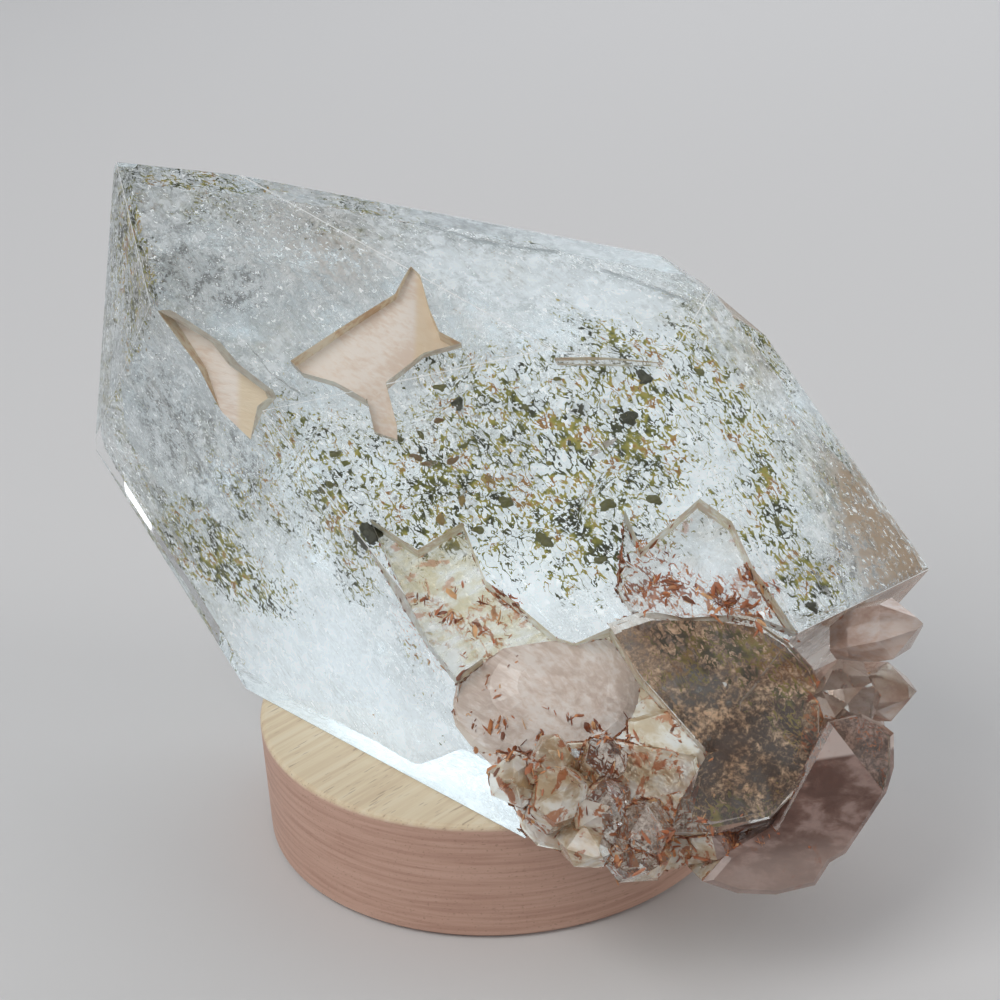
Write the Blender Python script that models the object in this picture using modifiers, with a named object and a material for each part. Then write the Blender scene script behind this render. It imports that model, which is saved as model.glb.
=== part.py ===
"""A faceted landscape quartz resting on a round wooden light stand.

Metres, +Z up. The origin is the middle of the stand's foot. The stone is worked out like a
lapidary's job: a block is cut by flat facets, the crystals grown on its rough end are joined
on, and the hollows on its ridges are cut in.
"""

import math

import bmesh
import bpy
from mathutils import Matrix, Vector

MM = 0.001

# Stand, in millimetres
STAND_DIAMETER = 80.0
STAND_HEIGHT = 21.0
STAND_EDGE_ROUND = 0.8
EDGE_ROUND_SHARE = 0.3
WINDOW_DIAMETER = 44.0
WINDOW_THICKNESS = 2.0
WINDOW_RECESS_DEPTH = 2.6
GAP = 0.3

# Plain colours of the three pieces
BEECH_COLOUR = (0.62, 0.40, 0.27)
WINDOW_COLOUR = (0.92, 0.96, 1.0)
QUARTZ_COLOUR = (0.86, 0.90, 0.92)

# The stone's own zero is the middle of the stand's top, lifted by the gap
STONE_ZERO = STAND_HEIGHT + GAP

# Facets of the main point: azimuth and elevation of the outward normal in degrees, and the
# distance of the facet from the stone's zero in millimetres
MAIN_FACETS = {
    "left_prism": (-136.8, 0.0, 27.8),
    "front_prism": (-90.0, 45.3, 43.0),
    "right_prism": (-46.4, 48.2, 57.4),
    "front_tip": (-93.9, 57.9, 50.9),
    "top_tip": (-71.2, 67.8, 57.6),
    "left_tip": (-156.4, 14.3, 56.9),
    "back_top": (75.0, 20.0, 51.5),
    "back_left": (165.0, 6.0, 76.6),
    "left_undercut": (170.0, -40.0, 33.0),
    "back_right": (40.0, 0.0, 44.2),
    "back_undercut": (85.0, -40.0, 29.0),
    "foot": (0.0, -90.0, 0.0),
    "broken_end": (-51.6, -34.9, 29.8),
}
BLOCK_HALF = 120.0

# The front prism face, which the crystals on the rough end share
FRONT = MAIN_FACETS["front_prism"][:2]

# A grown crystal's pointed faces lean this far from its prism faces, which lie a little nearer
# and a little farther from its axis in turn
CRYSTAL_SIDES = 6
CRYSTAL_LEAN = 52.0
CRYSTAL_NEAR = 0.94
CRYSTAL_FAR = 1.06
CRYSTAL_BLOCK = 3.0

# Shape of the rough end. Middles are in the stone's millimetres, and outlines run
# anticlockwise in millimetres on a face.
GROWTH_AXIS = (-46.5, -35.0)
BREAK_MIDDLE = (6.8, -37.3, 23.6)
BREAK_OUTLINE = [
    (-13.0, -3.0), (-7.5, -16.0), (-4.0, -32.0), (30.0, -32.0), (24.0, -6.0), (12.0, 7.5),
    (5.5, 5.0), (3.0, 6.0), (-2.0, 8.0), (-12.0, 1.0),
]
BREAK_DEPTH = 5.0
CUTTER_REACH = 12.0
SHELF_MIDDLE = (8.0, -32.2, 17.2)
SHELF_RADII = (15.0, 11.5, 8.2)
CAP_MIDDLE = (31.9, -43.2, 17.7)
CAP_OUTLINE = [
    (-14.5, 16.0), (-10.5, 8.0), (-1.5, -4.5), (-6.0, -11.0), (-8.0, -15.5), (-1.5, -16.0),
    (6.5, -14.5), (13.0, -9.0), (15.5, -4.5), (16.5, 3.0), (15.0, 7.5), (12.0, 11.5),
    (7.5, 15.5), (2.0, 17.5), (-3.0, 18.0), (-8.5, 18.0),
]
LOBE_OUTLINE = [
    (-12.5, 2.0), (-13.0, -10.0), (-9.0, -16.0), (2.0, -15.0), (4.0, -2.0), (-4.0, 4.0),
]
BLOCK_MIDDLE = (45.8, -52.8, 8.3)
BLOCK_FACE = (-82.0, 22.0)
BLOCK_OUTLINE = [
    (-18.0, -8.5), (-13.0, -11.0), (-7.5, -12.0), (-1.5, -11.5), (1.0, -8.5), (3.5, -7.5),
    (10.5, 0.5), (12.0, 4.0), (12.5, 9.0), (11.0, 10.5), (8.0, 12.5), (3.0, 12.0), (-2.0, 5.0),
    (-7.0, -2.0), (-14.0, -5.0),
]
DRUSE_MIDDLE = (12.8, -50.3, 10.7)
DRUSE_FACE = (-90.0, 30.0)
DRUSE_OUTLINE = [
    (-12.5, 5.0), (-10.0, -4.0), (-8.0, -6.5), (1.5, -9.0), (6.0, -11.5), (12.5, -11.0),
    (18.0, -6.0), (16.0, 5.0), (4.0, 8.0), (-6.0, 8.0),
]

# Flat-faced masses joined to the end: name, middle, face, outline, how far they reach into the
# stone and out of it, and the chamfer round them
BLOCKS = [
    ("lobe", CAP_MIDDLE, FRONT, LOBE_OUTLINE, 14.0, -2.0, 0.8),
    ("cap", CAP_MIDDLE, FRONT, CAP_OUTLINE, 16.0, 1.2, 1.0),
    ("end_block", BLOCK_MIDDLE, BLOCK_FACE, BLOCK_OUTLINE, 18.0, -0.8, 0.8),
    ("druse_bed", DRUSE_MIDDLE, DRUSE_FACE, DRUSE_OUTLINE, 16.0, -1.8, 0.8),
]

# Crystals grown on the end: name, middle, axis, radius, shaft length, spin
GROWN_CRYSTALS = [
    ("end_core", (29.0, -31.5, 8.0), GROWTH_AXIS, 12.0, 14.0, 10.0),
    ("druse_a", (2.8, -45.0, 11.0), (-100.0, 35.0), 3.6, 8.0, 10.0),
    ("druse_b", (8.0, -49.0, 10.0), (-70.0, 48.0), 4.2, 8.0, 35.0),
    ("druse_c", (8.5, -46.0, 14.5), (-120.0, 50.0), 2.8, 7.0, 50.0),
    ("druse_d", (14.5, -50.0, 8.5), (-85.0, 30.0), 4.2, 8.0, 0.0),
    ("druse_e", (14.5, -46.0, 13.5), (-60.0, 52.0), 3.0, 7.0, 20.0),
    ("druse_f", (20.5, -52.5, 6.5), (-110.0, 25.0), 3.6, 8.0, 40.0),
    ("druse_g", (11.5, -52.0, 5.0), (-75.0, 15.0), 3.2, 8.0, 15.0),
    ("druse_i", (5.6, -47.2, 13.8), (-85.0, 42.0), 2.2, 4.0, 25.0),
    ("druse_h", (19.0, -52.0, 3.5), (-90.0, 8.0), 4.2, 8.0, 30.0),
    ("right_a", (50.0, -38.5, 17.5), (-60.0, 40.0), 4.4, 11.0, 5.0),
    ("right_b", (55.0, -36.5, 17.5), (-45.0, 20.0), 3.8, 10.0, 40.0),
    ("right_c", (57.5, -26.5, 21.5), (-35.0, 25.0), 4.2, 9.0, 20.0),
    ("right_d", (49.0, -34.0, 9.5), (-50.0, -20.0), 6.5, 12.0, 0.0),
    ("under_a", (38.5, -40.0, 3.0), (-50.0, -20.0), 7.0, 10.0, 12.0),
    ("under_b", (27.5, -43.0, 4.0), (-70.0, -5.0), 6.5, 11.0, 44.0),
]

# Hollows left by crystals that grew against the stone: name, middle, face, depth, outline
HOLLOWS = [
    (
        "ridge_hollow", (-15.5, 4.1, 63.7), (-92.0, 52.0), 4.0,
        [
            (-13.5, -3.5), (-11.5, -6.0), (-6.5, -8.0), (-1.5, -11.5), (7.5, -3.5),
            (13.5, -2.0), (10.0, 0.5), (8.5, 5.0), (7.0, 12.0), (5.5, 14.0), (4.5, 12.0),
            (3.0, 8.5), (-5.5, 2.5),
        ],
    ),
    (
        "ridge_hollow_step", (-15.2, -6.2, 54.3), FRONT, 1.6,
        [(-2.0, 3.0), (-1.0, -3.0), (2.5, -4.5), (2.5, -2.0), (1.0, 5.5)],
    ),
    (
        "left_hollow", (-41.0, 1.3, 58.9), (-122.2, 30.5), 4.5,
        [
            (-14.5, 9.0), (-5.5, 1.5), (-1.5, -4.0), (5.0, -10.0), (9.5, -1.5), (8.5, -0.5),
            (1.0, 2.5), (-3.5, 5.5), (-9.5, 7.5),
        ],
    ),
    (
        "low_hollow", (-4.4, -28.0, 32.8), FRONT, 4.0,
        [
            (-13.0, 13.5), (-8.0, 0.5), (-5.0, -6.0), (-1.0, -12.0), (6.0, -7.5), (14.0, -7.0),
            (6.5, 0.5), (4.0, 2.5), (1.0, 12.0), (-6.0, 8.0),
        ],
    ),
    (
        "red_hollow", (30.3, -26.2, 34.5), FRONT, 4.5,
        [
            (-11.0, -2.0), (-9.0, -6.0), (-1.5, -8.0), (9.0, -8.0), (15.0, -11.0),
            (9.5, -0.5), (7.0, 7.0), (2.5, 11.0), (-7.0, 3.5), (-9.0, 10.0),
        ],
    ),
    (
        "ledge", (20.8, -1.7, 58.8), FRONT, 1.2,
        [(-8.5, 1.2), (-8.0, 0.2), (8.0, -1.2), (8.5, -0.4), (0.0, 0.8)],
    ),
]

# The shoulder step at the back of the right prism face, cut in by a small block
SHOULDER_MIDDLE = (44.0, 22.0, 66.0)
SHOULDER_HALF = 14.0
SHOULDER_WALL = (45.0, 2.0)
SHOULDER_WALL_DISTANCE = 40.9
SHOULDER_FLOOR_MIDDLE = (42.1, 12.8, 59.3)
SHOULDER_FLOOR_DOWN = (-0.55, 0.0, -0.83)

# Steps round the turned and rounded shapes
STAND_STEPS = 96
WINDOW_STEPS = 64
LUMP_RINGS = 10

# Limits for joining corners and closing facets, in metres
JOIN_DISTANCE = 0.000001
CUT_DISTANCE = 0.0000001
TURN_JOIN_DISTANCE = 0.00001

collection = None
cutters = None


def clear_scene():
    """Remove every object that is already in the scene."""
    for item in list(bpy.data.objects):
        bpy.data.objects.remove(item, do_unlink=True)


def make_collection(name):
    """A new collection linked to the scene."""
    made = bpy.data.collections.new(name)
    bpy.context.scene.collection.children.link(made)
    return made


def principled(name, colour, roughness, transmission):
    """A Principled material with the piece's own colour."""
    material = bpy.data.materials.new(name)
    material.use_nodes = True
    shader = material.node_tree.nodes["Principled BSDF"]
    shader.inputs["Base Color"].default_value = (*colour, 1.0)
    shader.inputs["Roughness"].default_value = roughness
    shader.inputs["Transmission Weight"].default_value = transmission
    return material


def direction(azimuth, elevation):
    """Unit vector at an azimuth and elevation given in degrees."""
    turn = math.radians(azimuth)
    rise = math.radians(elevation)
    flat = math.cos(rise)
    return Vector((flat * math.cos(turn), flat * math.sin(turn), math.sin(rise)))


def face_axes(azimuth, elevation):
    """Matrix whose columns are right, up the slope, and out of a face."""
    out = direction(azimuth, elevation)
    turn = math.radians(azimuth)
    right = Vector((-math.sin(turn), math.cos(turn), 0.0))
    upward = out.cross(right)
    return Matrix((right, upward, out)).transposed()


def stone_point(x, y, z):
    """A place given in the stone's millimetres, in metres above the table."""
    return Vector((x, y, z + STONE_ZERO)) * MM


def object_from(bm, name, target):
    """Turn a bmesh into an object in a collection."""
    mesh = bpy.data.meshes.new(name)
    bm.to_mesh(mesh)
    bm.free()
    made = bpy.data.objects.new(name, mesh)
    target.objects.link(made)
    return made


def cut_away(bm, place, normal):
    """Cut a closed mesh flat at a place and close it with the new facet."""
    geometry = bm.verts[:] + bm.edges[:] + bm.faces[:]
    bmesh.ops.bisect_plane(
        bm, geom=geometry, dist=CUT_DISTANCE, plane_co=place, plane_no=normal, clear_outer=True
    )
    rim = [edge for edge in bm.edges if edge.is_boundary]
    bmesh.ops.holes_fill(bm, edges=rim, sides=0)


def cut_block(centre, half, facets):
    """Bmesh of a cube cut by facets, each a place and an outward normal."""
    bm = bmesh.new()
    bmesh.ops.create_cube(bm, size=2.0 * half, matrix=Matrix.Translation(centre))
    for place, normal in facets:
        cut_away(bm, place, normal)
    bmesh.ops.recalc_face_normals(bm, faces=bm.faces[:])
    return bm


def main_point():
    """The big point, cut from a block by its facets."""
    zero = stone_point(0.0, 0.0, 0.0)
    facets = []
    for azimuth, elevation, distance in MAIN_FACETS.values():
        normal = direction(azimuth, elevation)
        facets.append((zero + normal * distance * MM, normal))
    return object_from(cut_block(zero, BLOCK_HALF * MM, facets), "quartz", collection)


def grown_crystal(name, middle, axis, radius, shaft, spin):
    """A six-sided crystal: prism faces round its axis, a six-faced point, and a flat root."""
    centre = stone_point(*middle)
    frame = face_axes(*axis)
    facets = []
    top = centre + frame @ Vector((0.0, 0.0, 0.5 * shaft * MM))
    lean = math.radians(90.0 - CRYSTAL_LEAN)
    for step in range(CRYSTAL_SIDES):
        turn = math.radians(spin) + 2.0 * math.pi * step / CRYSTAL_SIDES
        reach = radius * (CRYSTAL_FAR if step % 2 else CRYSTAL_NEAR)
        side = frame @ Vector((math.cos(turn), math.sin(turn), 0.0))
        facets.append((centre + side * reach * MM, side))
        flat = Vector((math.cos(turn), math.sin(turn), 0.0)) * math.cos(lean)
        slope = frame @ (flat + Vector((0.0, 0.0, math.sin(lean))))
        facets.append((top + side * reach * MM, slope))
    root = frame @ Vector((0.0, 0.0, -1.0))
    facets.append((centre + root * 0.5 * shaft * MM, root))
    block = cut_block(centre, CRYSTAL_BLOCK * (radius + shaft) * MM, facets)
    return object_from(block, name, cutters)


def outline_block(name, middle, axis, outline, inner, outer, chamfer):
    """A flat outline drawn on a face and thickened from inside the stone to just outside it."""
    curve = bpy.data.curves.new(name, "CURVE")
    curve.dimensions = "2D"
    curve.fill_mode = "BOTH"
    curve.extrude = 0.5 * (inner + outer) * MM - chamfer * MM
    curve.bevel_depth = chamfer * MM
    curve.bevel_resolution = 0
    curve.offset = -chamfer * MM
    spline = curve.splines.new("POLY")
    spline.points.add(len(outline) - 1)
    for point, (u, v) in zip(spline.points, outline):
        point.co = (u * MM, v * MM, 0.0, 1.0)
    spline.use_cyclic_u = True
    drawn = bpy.data.objects.new(name + "_curve", curve)
    cutters.objects.link(drawn)
    frame = face_axes(*axis)
    centre = stone_point(*middle) + frame @ Vector((0.0, 0.0, 0.5 * (outer - inner) * MM))
    drawn.matrix_world = Matrix.Translation(centre) @ frame.to_4x4()
    bpy.context.view_layer.update()
    evaluated = drawn.evaluated_get(bpy.context.evaluated_depsgraph_get())
    mesh = bpy.data.meshes.new_from_object(evaluated)
    bm = bmesh.new()
    bm.from_mesh(mesh)
    bmesh.ops.remove_doubles(bm, verts=bm.verts, dist=JOIN_DISTANCE)
    bmesh.ops.recalc_face_normals(bm, faces=bm.faces[:])
    bm.transform(drawn.matrix_world)
    bpy.data.objects.remove(drawn, do_unlink=True)
    bpy.data.meshes.remove(mesh)
    return object_from(bm, name, cutters)


def rounded_lump(name, middle, radii, axis):
    """A smooth lump: a sphere stretched along the axes of a face."""
    bm = bmesh.new()
    bmesh.ops.create_uvsphere(bm, u_segments=2 * LUMP_RINGS, v_segments=LUMP_RINGS, radius=1.0)
    scale = Matrix.Diagonal(Vector(radii) * MM).to_4x4()
    bm.transform(Matrix.Translation(stone_point(*middle)) @ face_axes(*axis).to_4x4() @ scale)
    return object_from(bm, name, cutters)


def stand_clearance():
    """A cylinder that keeps the low crystals clear of the stand."""
    radius = 0.5 * STAND_DIAMETER + GAP
    depth = STAND_HEIGHT + GAP
    bm = bmesh.new()
    bmesh.ops.create_cone(
        bm, segments=STAND_STEPS, radius1=radius * MM, radius2=radius * MM, depth=depth * MM,
        cap_ends=True,
    )
    bm.transform(Matrix.Translation((0.0, 0.0, 0.5 * depth * MM)))
    return object_from(bm, "stand_clearance", cutters)


def combine(target, tool, operation):
    """Join a shape to the target, or cut it out, and hide the shape."""
    modifier = target.modifiers.new(tool.name, "BOOLEAN")
    modifier.operation = operation
    modifier.solver = "EXACT"
    modifier.object = tool
    tool.hide_render = True
    tool.display_type = "WIRE"


def shoulder_cutter():
    """The block that takes the step out of the stone's right shoulder."""
    inner = direction(*SHOULDER_WALL)
    wall = stone_point(0.0, 0.0, 0.0) + inner * SHOULDER_WALL_DISTANCE * MM
    down = Vector(SHOULDER_FLOOR_DOWN).normalized()
    facets = [(wall, -inner), (stone_point(*SHOULDER_FLOOR_MIDDLE), down)]
    bm = cut_block(stone_point(*SHOULDER_MIDDLE), SHOULDER_HALF * MM, facets)
    return object_from(bm, "shoulder", cutters)


def build_quartz():
    """The stone: main point, crystals grown on it, and the hollows."""
    stone = main_point()
    natural_end = outline_block(
        "break", BREAK_MIDDLE, FRONT, BREAK_OUTLINE, BREAK_DEPTH, CUTTER_REACH, 0.0
    )
    combine(stone, natural_end, "DIFFERENCE")
    combine(stone, shoulder_cutter(), "DIFFERENCE")
    for crystal in GROWN_CRYSTALS:
        combine(stone, grown_crystal(*crystal), "UNION")
    for block in BLOCKS:
        combine(stone, outline_block(*block), "UNION")
    combine(stone, rounded_lump("shelf", SHELF_MIDDLE, SHELF_RADII, FRONT), "UNION")
    for name, middle, axis, depth, outline in HOLLOWS:
        hollow = outline_block(name, middle, axis, outline, depth, CUTTER_REACH, 0.0)
        combine(stone, hollow, "DIFFERENCE")
    combine(stone, stand_clearance(), "DIFFERENCE")
    stone.data.materials.append(principled("clear_quartz", QUARTZ_COLOUR, 0.04, 1.0))
    return stone


def turned(name, profile, steps):
    """A solid turned round Z from a profile that runs from the top of the axis to its foot."""
    bm = bmesh.new()
    points = [bm.verts.new((radius * MM, 0.0, height * MM)) for radius, height in profile]
    for first, second in zip(points, points[1:]):
        bm.edges.new((first, second))
    made = object_from(bm, name, collection)
    screw = made.modifiers.new("turn", "SCREW")
    screw.steps = steps
    screw.render_steps = steps
    screw.use_merge_vertices = True
    screw.merge_threshold = TURN_JOIN_DISTANCE
    return made


def build_stand():
    """The turned wooden disc with a recess for its light window."""
    outer = 0.5 * STAND_DIAMETER
    recess = 0.5 * WINDOW_DIAMETER + GAP
    floor = STAND_HEIGHT - WINDOW_RECESS_DEPTH
    small = EDGE_ROUND_SHARE * STAND_EDGE_ROUND
    profile = [
        (0.0, floor),
        (recess, floor),
        (recess, STAND_HEIGHT),
        (outer - STAND_EDGE_ROUND, STAND_HEIGHT),
        (outer - small, STAND_HEIGHT - small),
        (outer, STAND_HEIGHT - STAND_EDGE_ROUND),
        (outer, STAND_EDGE_ROUND),
        (outer - STAND_EDGE_ROUND, 0.0),
        (0.0, 0.0),
    ]
    stand = turned("stand", profile, STAND_STEPS)
    stand.data.materials.append(principled("beech_wood", BEECH_COLOUR, 0.55, 0.0))
    return stand


def build_window():
    """The frosted window over the light, let into the stand just below its top."""
    radius = 0.5 * WINDOW_DIAMETER
    foot = STAND_HEIGHT - WINDOW_RECESS_DEPTH + GAP
    profile = [
        (0.0, foot + WINDOW_THICKNESS),
        (radius, foot + WINDOW_THICKNESS),
        (radius, foot),
        (0.0, foot),
    ]
    window = turned("light_window", profile, WINDOW_STEPS)
    window.data.materials.append(principled("frosted_window", WINDOW_COLOUR, 0.4, 0.0))
    return window


clear_scene()
collection = make_collection("landscape_quartz")
cutters = make_collection("cutters")
build_stand()
build_window()
build_quartz()
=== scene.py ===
import math

import bmesh
import bpy
import numpy as np
from mathutils import Matrix, Vector


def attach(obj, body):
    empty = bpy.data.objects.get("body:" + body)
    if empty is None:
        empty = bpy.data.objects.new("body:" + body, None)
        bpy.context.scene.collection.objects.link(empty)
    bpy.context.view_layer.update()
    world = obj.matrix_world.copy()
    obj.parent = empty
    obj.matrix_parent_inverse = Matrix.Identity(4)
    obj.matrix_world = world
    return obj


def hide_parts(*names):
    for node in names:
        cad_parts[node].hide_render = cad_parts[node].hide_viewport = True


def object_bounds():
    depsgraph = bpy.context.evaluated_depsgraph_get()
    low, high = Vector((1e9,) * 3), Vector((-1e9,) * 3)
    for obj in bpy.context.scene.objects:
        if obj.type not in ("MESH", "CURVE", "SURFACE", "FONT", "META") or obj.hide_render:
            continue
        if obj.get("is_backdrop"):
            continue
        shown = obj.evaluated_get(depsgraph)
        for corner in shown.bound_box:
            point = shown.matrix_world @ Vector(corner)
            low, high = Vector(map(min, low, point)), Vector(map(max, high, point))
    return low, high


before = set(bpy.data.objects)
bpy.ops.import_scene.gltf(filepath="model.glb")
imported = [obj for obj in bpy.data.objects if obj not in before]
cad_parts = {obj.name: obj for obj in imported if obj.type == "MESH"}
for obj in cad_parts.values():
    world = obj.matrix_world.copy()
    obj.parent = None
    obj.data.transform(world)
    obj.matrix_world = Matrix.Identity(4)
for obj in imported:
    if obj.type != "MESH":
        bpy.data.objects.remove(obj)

cad_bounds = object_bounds()

# ---------------------------------------------------------------------------------------------
# The room: a pale floor, an even sky and three large soft lights. The camera stands in front
# of the stone and looks down at it from the height of a person sitting at the table.
MM = 0.001
EYE = np.array([0.0025, -0.3004, 0.2006])
LOOK_DOWN = math.radians(25.62)
CAMERA_ROLL = math.radians(-3.52)
SENSOR = 36.0
LENS = 74.3
PICTURE = 1000.0
FLOOR_RADIUS = 4.0
FLOOR_CORNERS = 96
FLOOR_COLOUR = (0.70, 0.705, 0.715)
SKY_COLOUR = (0.975, 0.98, 1.0)
SKY_STRENGTH = 0.34

forward = np.array([0.0, math.cos(LOOK_DOWN), -math.sin(LOOK_DOWN)])
level_up = np.array([0.0, math.sin(LOOK_DOWN), math.cos(LOOK_DOWN)])
sideways = np.array([1.0, 0.0, 0.0])
picture_right = math.cos(CAMERA_ROLL) * sideways + math.sin(CAMERA_ROLL) * level_up
picture_up = math.cos(CAMERA_ROLL) * level_up - math.sin(CAMERA_ROLL) * sideways

camera_data = bpy.data.cameras.new("camera")
camera_data.sensor_width = SENSOR
camera_data.lens = LENS
camera_data.clip_start = 0.01
camera = bpy.data.objects.new("camera", camera_data)
bpy.context.scene.collection.objects.link(camera)
camera.matrix_world = Matrix([
    (picture_right[i], picture_up[i], -forward[i], EYE[i]) for i in range(3)
] + [(0.0, 0.0, 0.0, 1.0)])
bpy.context.scene.camera = camera
bpy.context.scene.view_settings.view_transform = "Standard"
bpy.context.scene.cycles.transparent_max_bounces = 10
bpy.context.scene.cycles.transmission_bounces = 7
bpy.context.scene.cycles.diffuse_bounces = 2
bpy.context.scene.cycles.max_bounces = 8
bpy.context.scene.cycles.adaptive_threshold = 0.12


def mesh_object(name, places, faces, smooth=False):
    """An object from an array of places and an array of faces with as many corners each.

    Face number i starts at corner number i times the corners of one face.
    """
    places = np.asarray(places, dtype=np.float32)
    faces = np.asarray(faces, dtype=np.int32)
    corners = faces.shape[1]
    mesh = bpy.data.meshes.new(name)
    mesh.vertices.add(len(places))
    mesh.vertices.foreach_set("co", places.ravel())
    mesh.loops.add(faces.size)
    mesh.loops.foreach_set("vertex_index", faces.ravel())
    mesh.polygons.add(len(faces))
    mesh.polygons.foreach_set("loop_start", np.arange(0, faces.size, corners, dtype=np.int32))
    mesh.polygons.foreach_set("use_smooth", np.full(len(faces), smooth))
    mesh.update(calc_edges=True)
    made = bpy.data.objects.new(name, mesh)
    bpy.context.scene.collection.objects.link(made)
    return made


def new_material(name, **values):
    """A material with its Principled shader's plain values set, its node tree and that shader."""
    made = bpy.data.materials.new(name)
    made.use_nodes = True
    shader = made.node_tree.nodes["Principled BSDF"]
    for key, value in values.items():
        shader.inputs[key.replace("_", " ")].default_value = value
    return made, made.node_tree, shader


def node(tree, kind, inputs=(), **settings):
    """A shader node with its settings, and its inputs as plain values or other nodes' outputs."""
    made = tree.nodes.new(kind)
    for key, value in settings.items():
        setattr(made, key, value)
    for key, value in dict(inputs).items():
        if isinstance(value, bpy.types.NodeSocket):
            tree.links.new(value, made.inputs[key])
        else:
            made.inputs[key].default_value = value
    return made


floor_turn = np.linspace(0.0, 2.0 * math.pi, FLOOR_CORNERS, endpoint=False)
floor_rim = FLOOR_RADIUS * np.cos(floor_turn), FLOOR_RADIUS * np.sin(floor_turn), 0.0 * floor_turn
floor = mesh_object("floor", np.stack(floor_rim, 1), np.arange(FLOOR_CORNERS)[None])
floor.data.materials.append(
    new_material("floor_paper", Base_Color=(*FLOOR_COLOUR, 1.0), Roughness=0.85)[0]
)
floor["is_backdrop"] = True

world = bpy.data.worlds.new("sky")
world.use_nodes = True
world.node_tree.nodes["Background"].inputs["Color"].default_value = (*SKY_COLOUR, 1.0)
world.node_tree.nodes["Background"].inputs["Strength"].default_value = SKY_STRENGTH
bpy.context.scene.world = world

# name, place in metres, width, height, power in watts, colour; each looks at the stone's middle
LIGHTS_AIM = np.array([0.0, 0.0, 0.06])
SOFT_LIGHTS = [
    ("key", (-0.55, -0.35, 0.85), 0.7, 0.7, 4.4, (1.0, 0.98, 0.95)),
    ("back", (0.25, 0.85, 0.60), 0.9, 0.5, 2.6, (0.97, 0.98, 1.0)),
    ("side", (0.85, -0.25, 0.45), 0.5, 0.6, 2.0, (1.0, 0.97, 0.93)),
]
for name, place, width, height, power, colour in SOFT_LIGHTS:
    light_data = bpy.data.lights.new(name, "AREA")
    light_data.shape = "RECTANGLE"
    light_data.size = width
    light_data.size_y = height
    light_data.energy = power
    light_data.color = colour
    lamp = bpy.data.objects.new(name, light_data)
    bpy.context.scene.collection.objects.link(lamp)
    away = np.array(place) - LIGHTS_AIM
    away /= np.linalg.norm(away)
    across = np.cross([0.0, 0.0, 1.0], away)
    across /= np.linalg.norm(across)
    rise = np.cross(away, across)
    lamp.matrix_world = Matrix([
        (across[i], rise[i], away[i], place[i]) for i in range(3)
    ] + [(0.0, 0.0, 0.0, 1.0)])

# ---------------------------------------------------------------------------------------------
# The stand: a turned disc of beech, sanded pale on top and oiled pinkish brown round the side.
# The grain of the plank runs across it, with the short dark flecks of beech.
STAND_TOP = 0.021
ROUNDED_RIM = (0.0011, 0.0003)
FLECK_COLOUR = (0.34, 0.20, 0.13)
GRAIN_TURN = math.radians(-44.0)
TOP_TONES = ((0.0, (0.76, 0.60, 0.41)), (0.55, (0.85, 0.71, 0.50)), (1.0, (0.89, 0.77, 0.58)))
SIDE_TONES = ((0.0, (0.53, 0.31, 0.235)), (0.5, (0.62, 0.385, 0.295)), (1.0, (0.68, 0.44, 0.345)))


def colour_ramp(tree, factor, stops):
    """A colour ramp fed by a factor, from a list of places and colours."""
    made = node(tree, "ShaderNodeValToRGB", {"Fac": factor})
    ramp = made.color_ramp
    while len(ramp.elements) < len(stops):
        ramp.elements.new(0.5)
    for element, (place, colour) in zip(ramp.elements, stops):
        element.position = place
        element.color = (*colour, 1.0)
    return made.outputs["Color"]


def noise(tree, vector, scale, detail=4.0, roughness=0.55, distortion=0.0):
    """A noise texture's plain value between 0 and 1, with its scale in cells for each metre."""
    made = node(tree, "ShaderNodeTexNoise", {
        "Vector": vector, "Scale": scale, "Detail": detail, "Roughness": roughness,
        "Distortion": distortion,
    })
    return made.outputs["Fac"]


def step(tree, value, low, high, from_value=0.0, to_value=1.0):
    """A smooth step: with t the value's share of the way from low to high, 3 t² less 2 t³."""
    made = node(tree, "ShaderNodeMapRange", {
        "Value": value, "From Min": low, "From Max": high, "To Min": from_value,
        "To Max": to_value,
    }, interpolation_type="SMOOTHSTEP")
    return made.outputs["Result"]


def sum_of(tree, first, second, kind="ADD", third=None):
    """Two values put together by a Math node, or by MULTIPLY_ADD first times second plus third."""
    inputs = {0: first, 1: second}
    if third is not None:
        inputs[2] = third
    return node(tree, "ShaderNodeMath", inputs, operation=kind).outputs[0]


def blend(tree, factor, first, second, kind="MIX"):
    """Two colours mixed: the first times one less the factor, plus the second times the factor."""
    made = node(tree, "ShaderNodeMix", {0: factor}, data_type="RGBA", blend_type=kind)
    for socket, value in ((made.inputs[6], first), (made.inputs[7], second)):
        if isinstance(value, bpy.types.NodeSocket):
            tree.links.new(value, socket)
        else:
            socket.default_value = (*value, 1.0)
    return made.outputs[2]


def object_coordinates(tree, scale=(1.0, 1.0, 1.0), turn=0.0):
    """Object coordinates turned round Z and then multiplied by a scale for each axis."""
    coordinates = node(tree, "ShaderNodeTexCoord").outputs["Object"]
    turned = node(tree, "ShaderNodeMapping", {
        "Vector": coordinates, "Rotation": (0.0, 0.0, turn), "Scale": (1.0, 1.0, 1.0),
    }).outputs["Vector"]
    return node(tree, "ShaderNodeMapping", {"Vector": turned, "Scale": scale}).outputs["Vector"]


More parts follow.
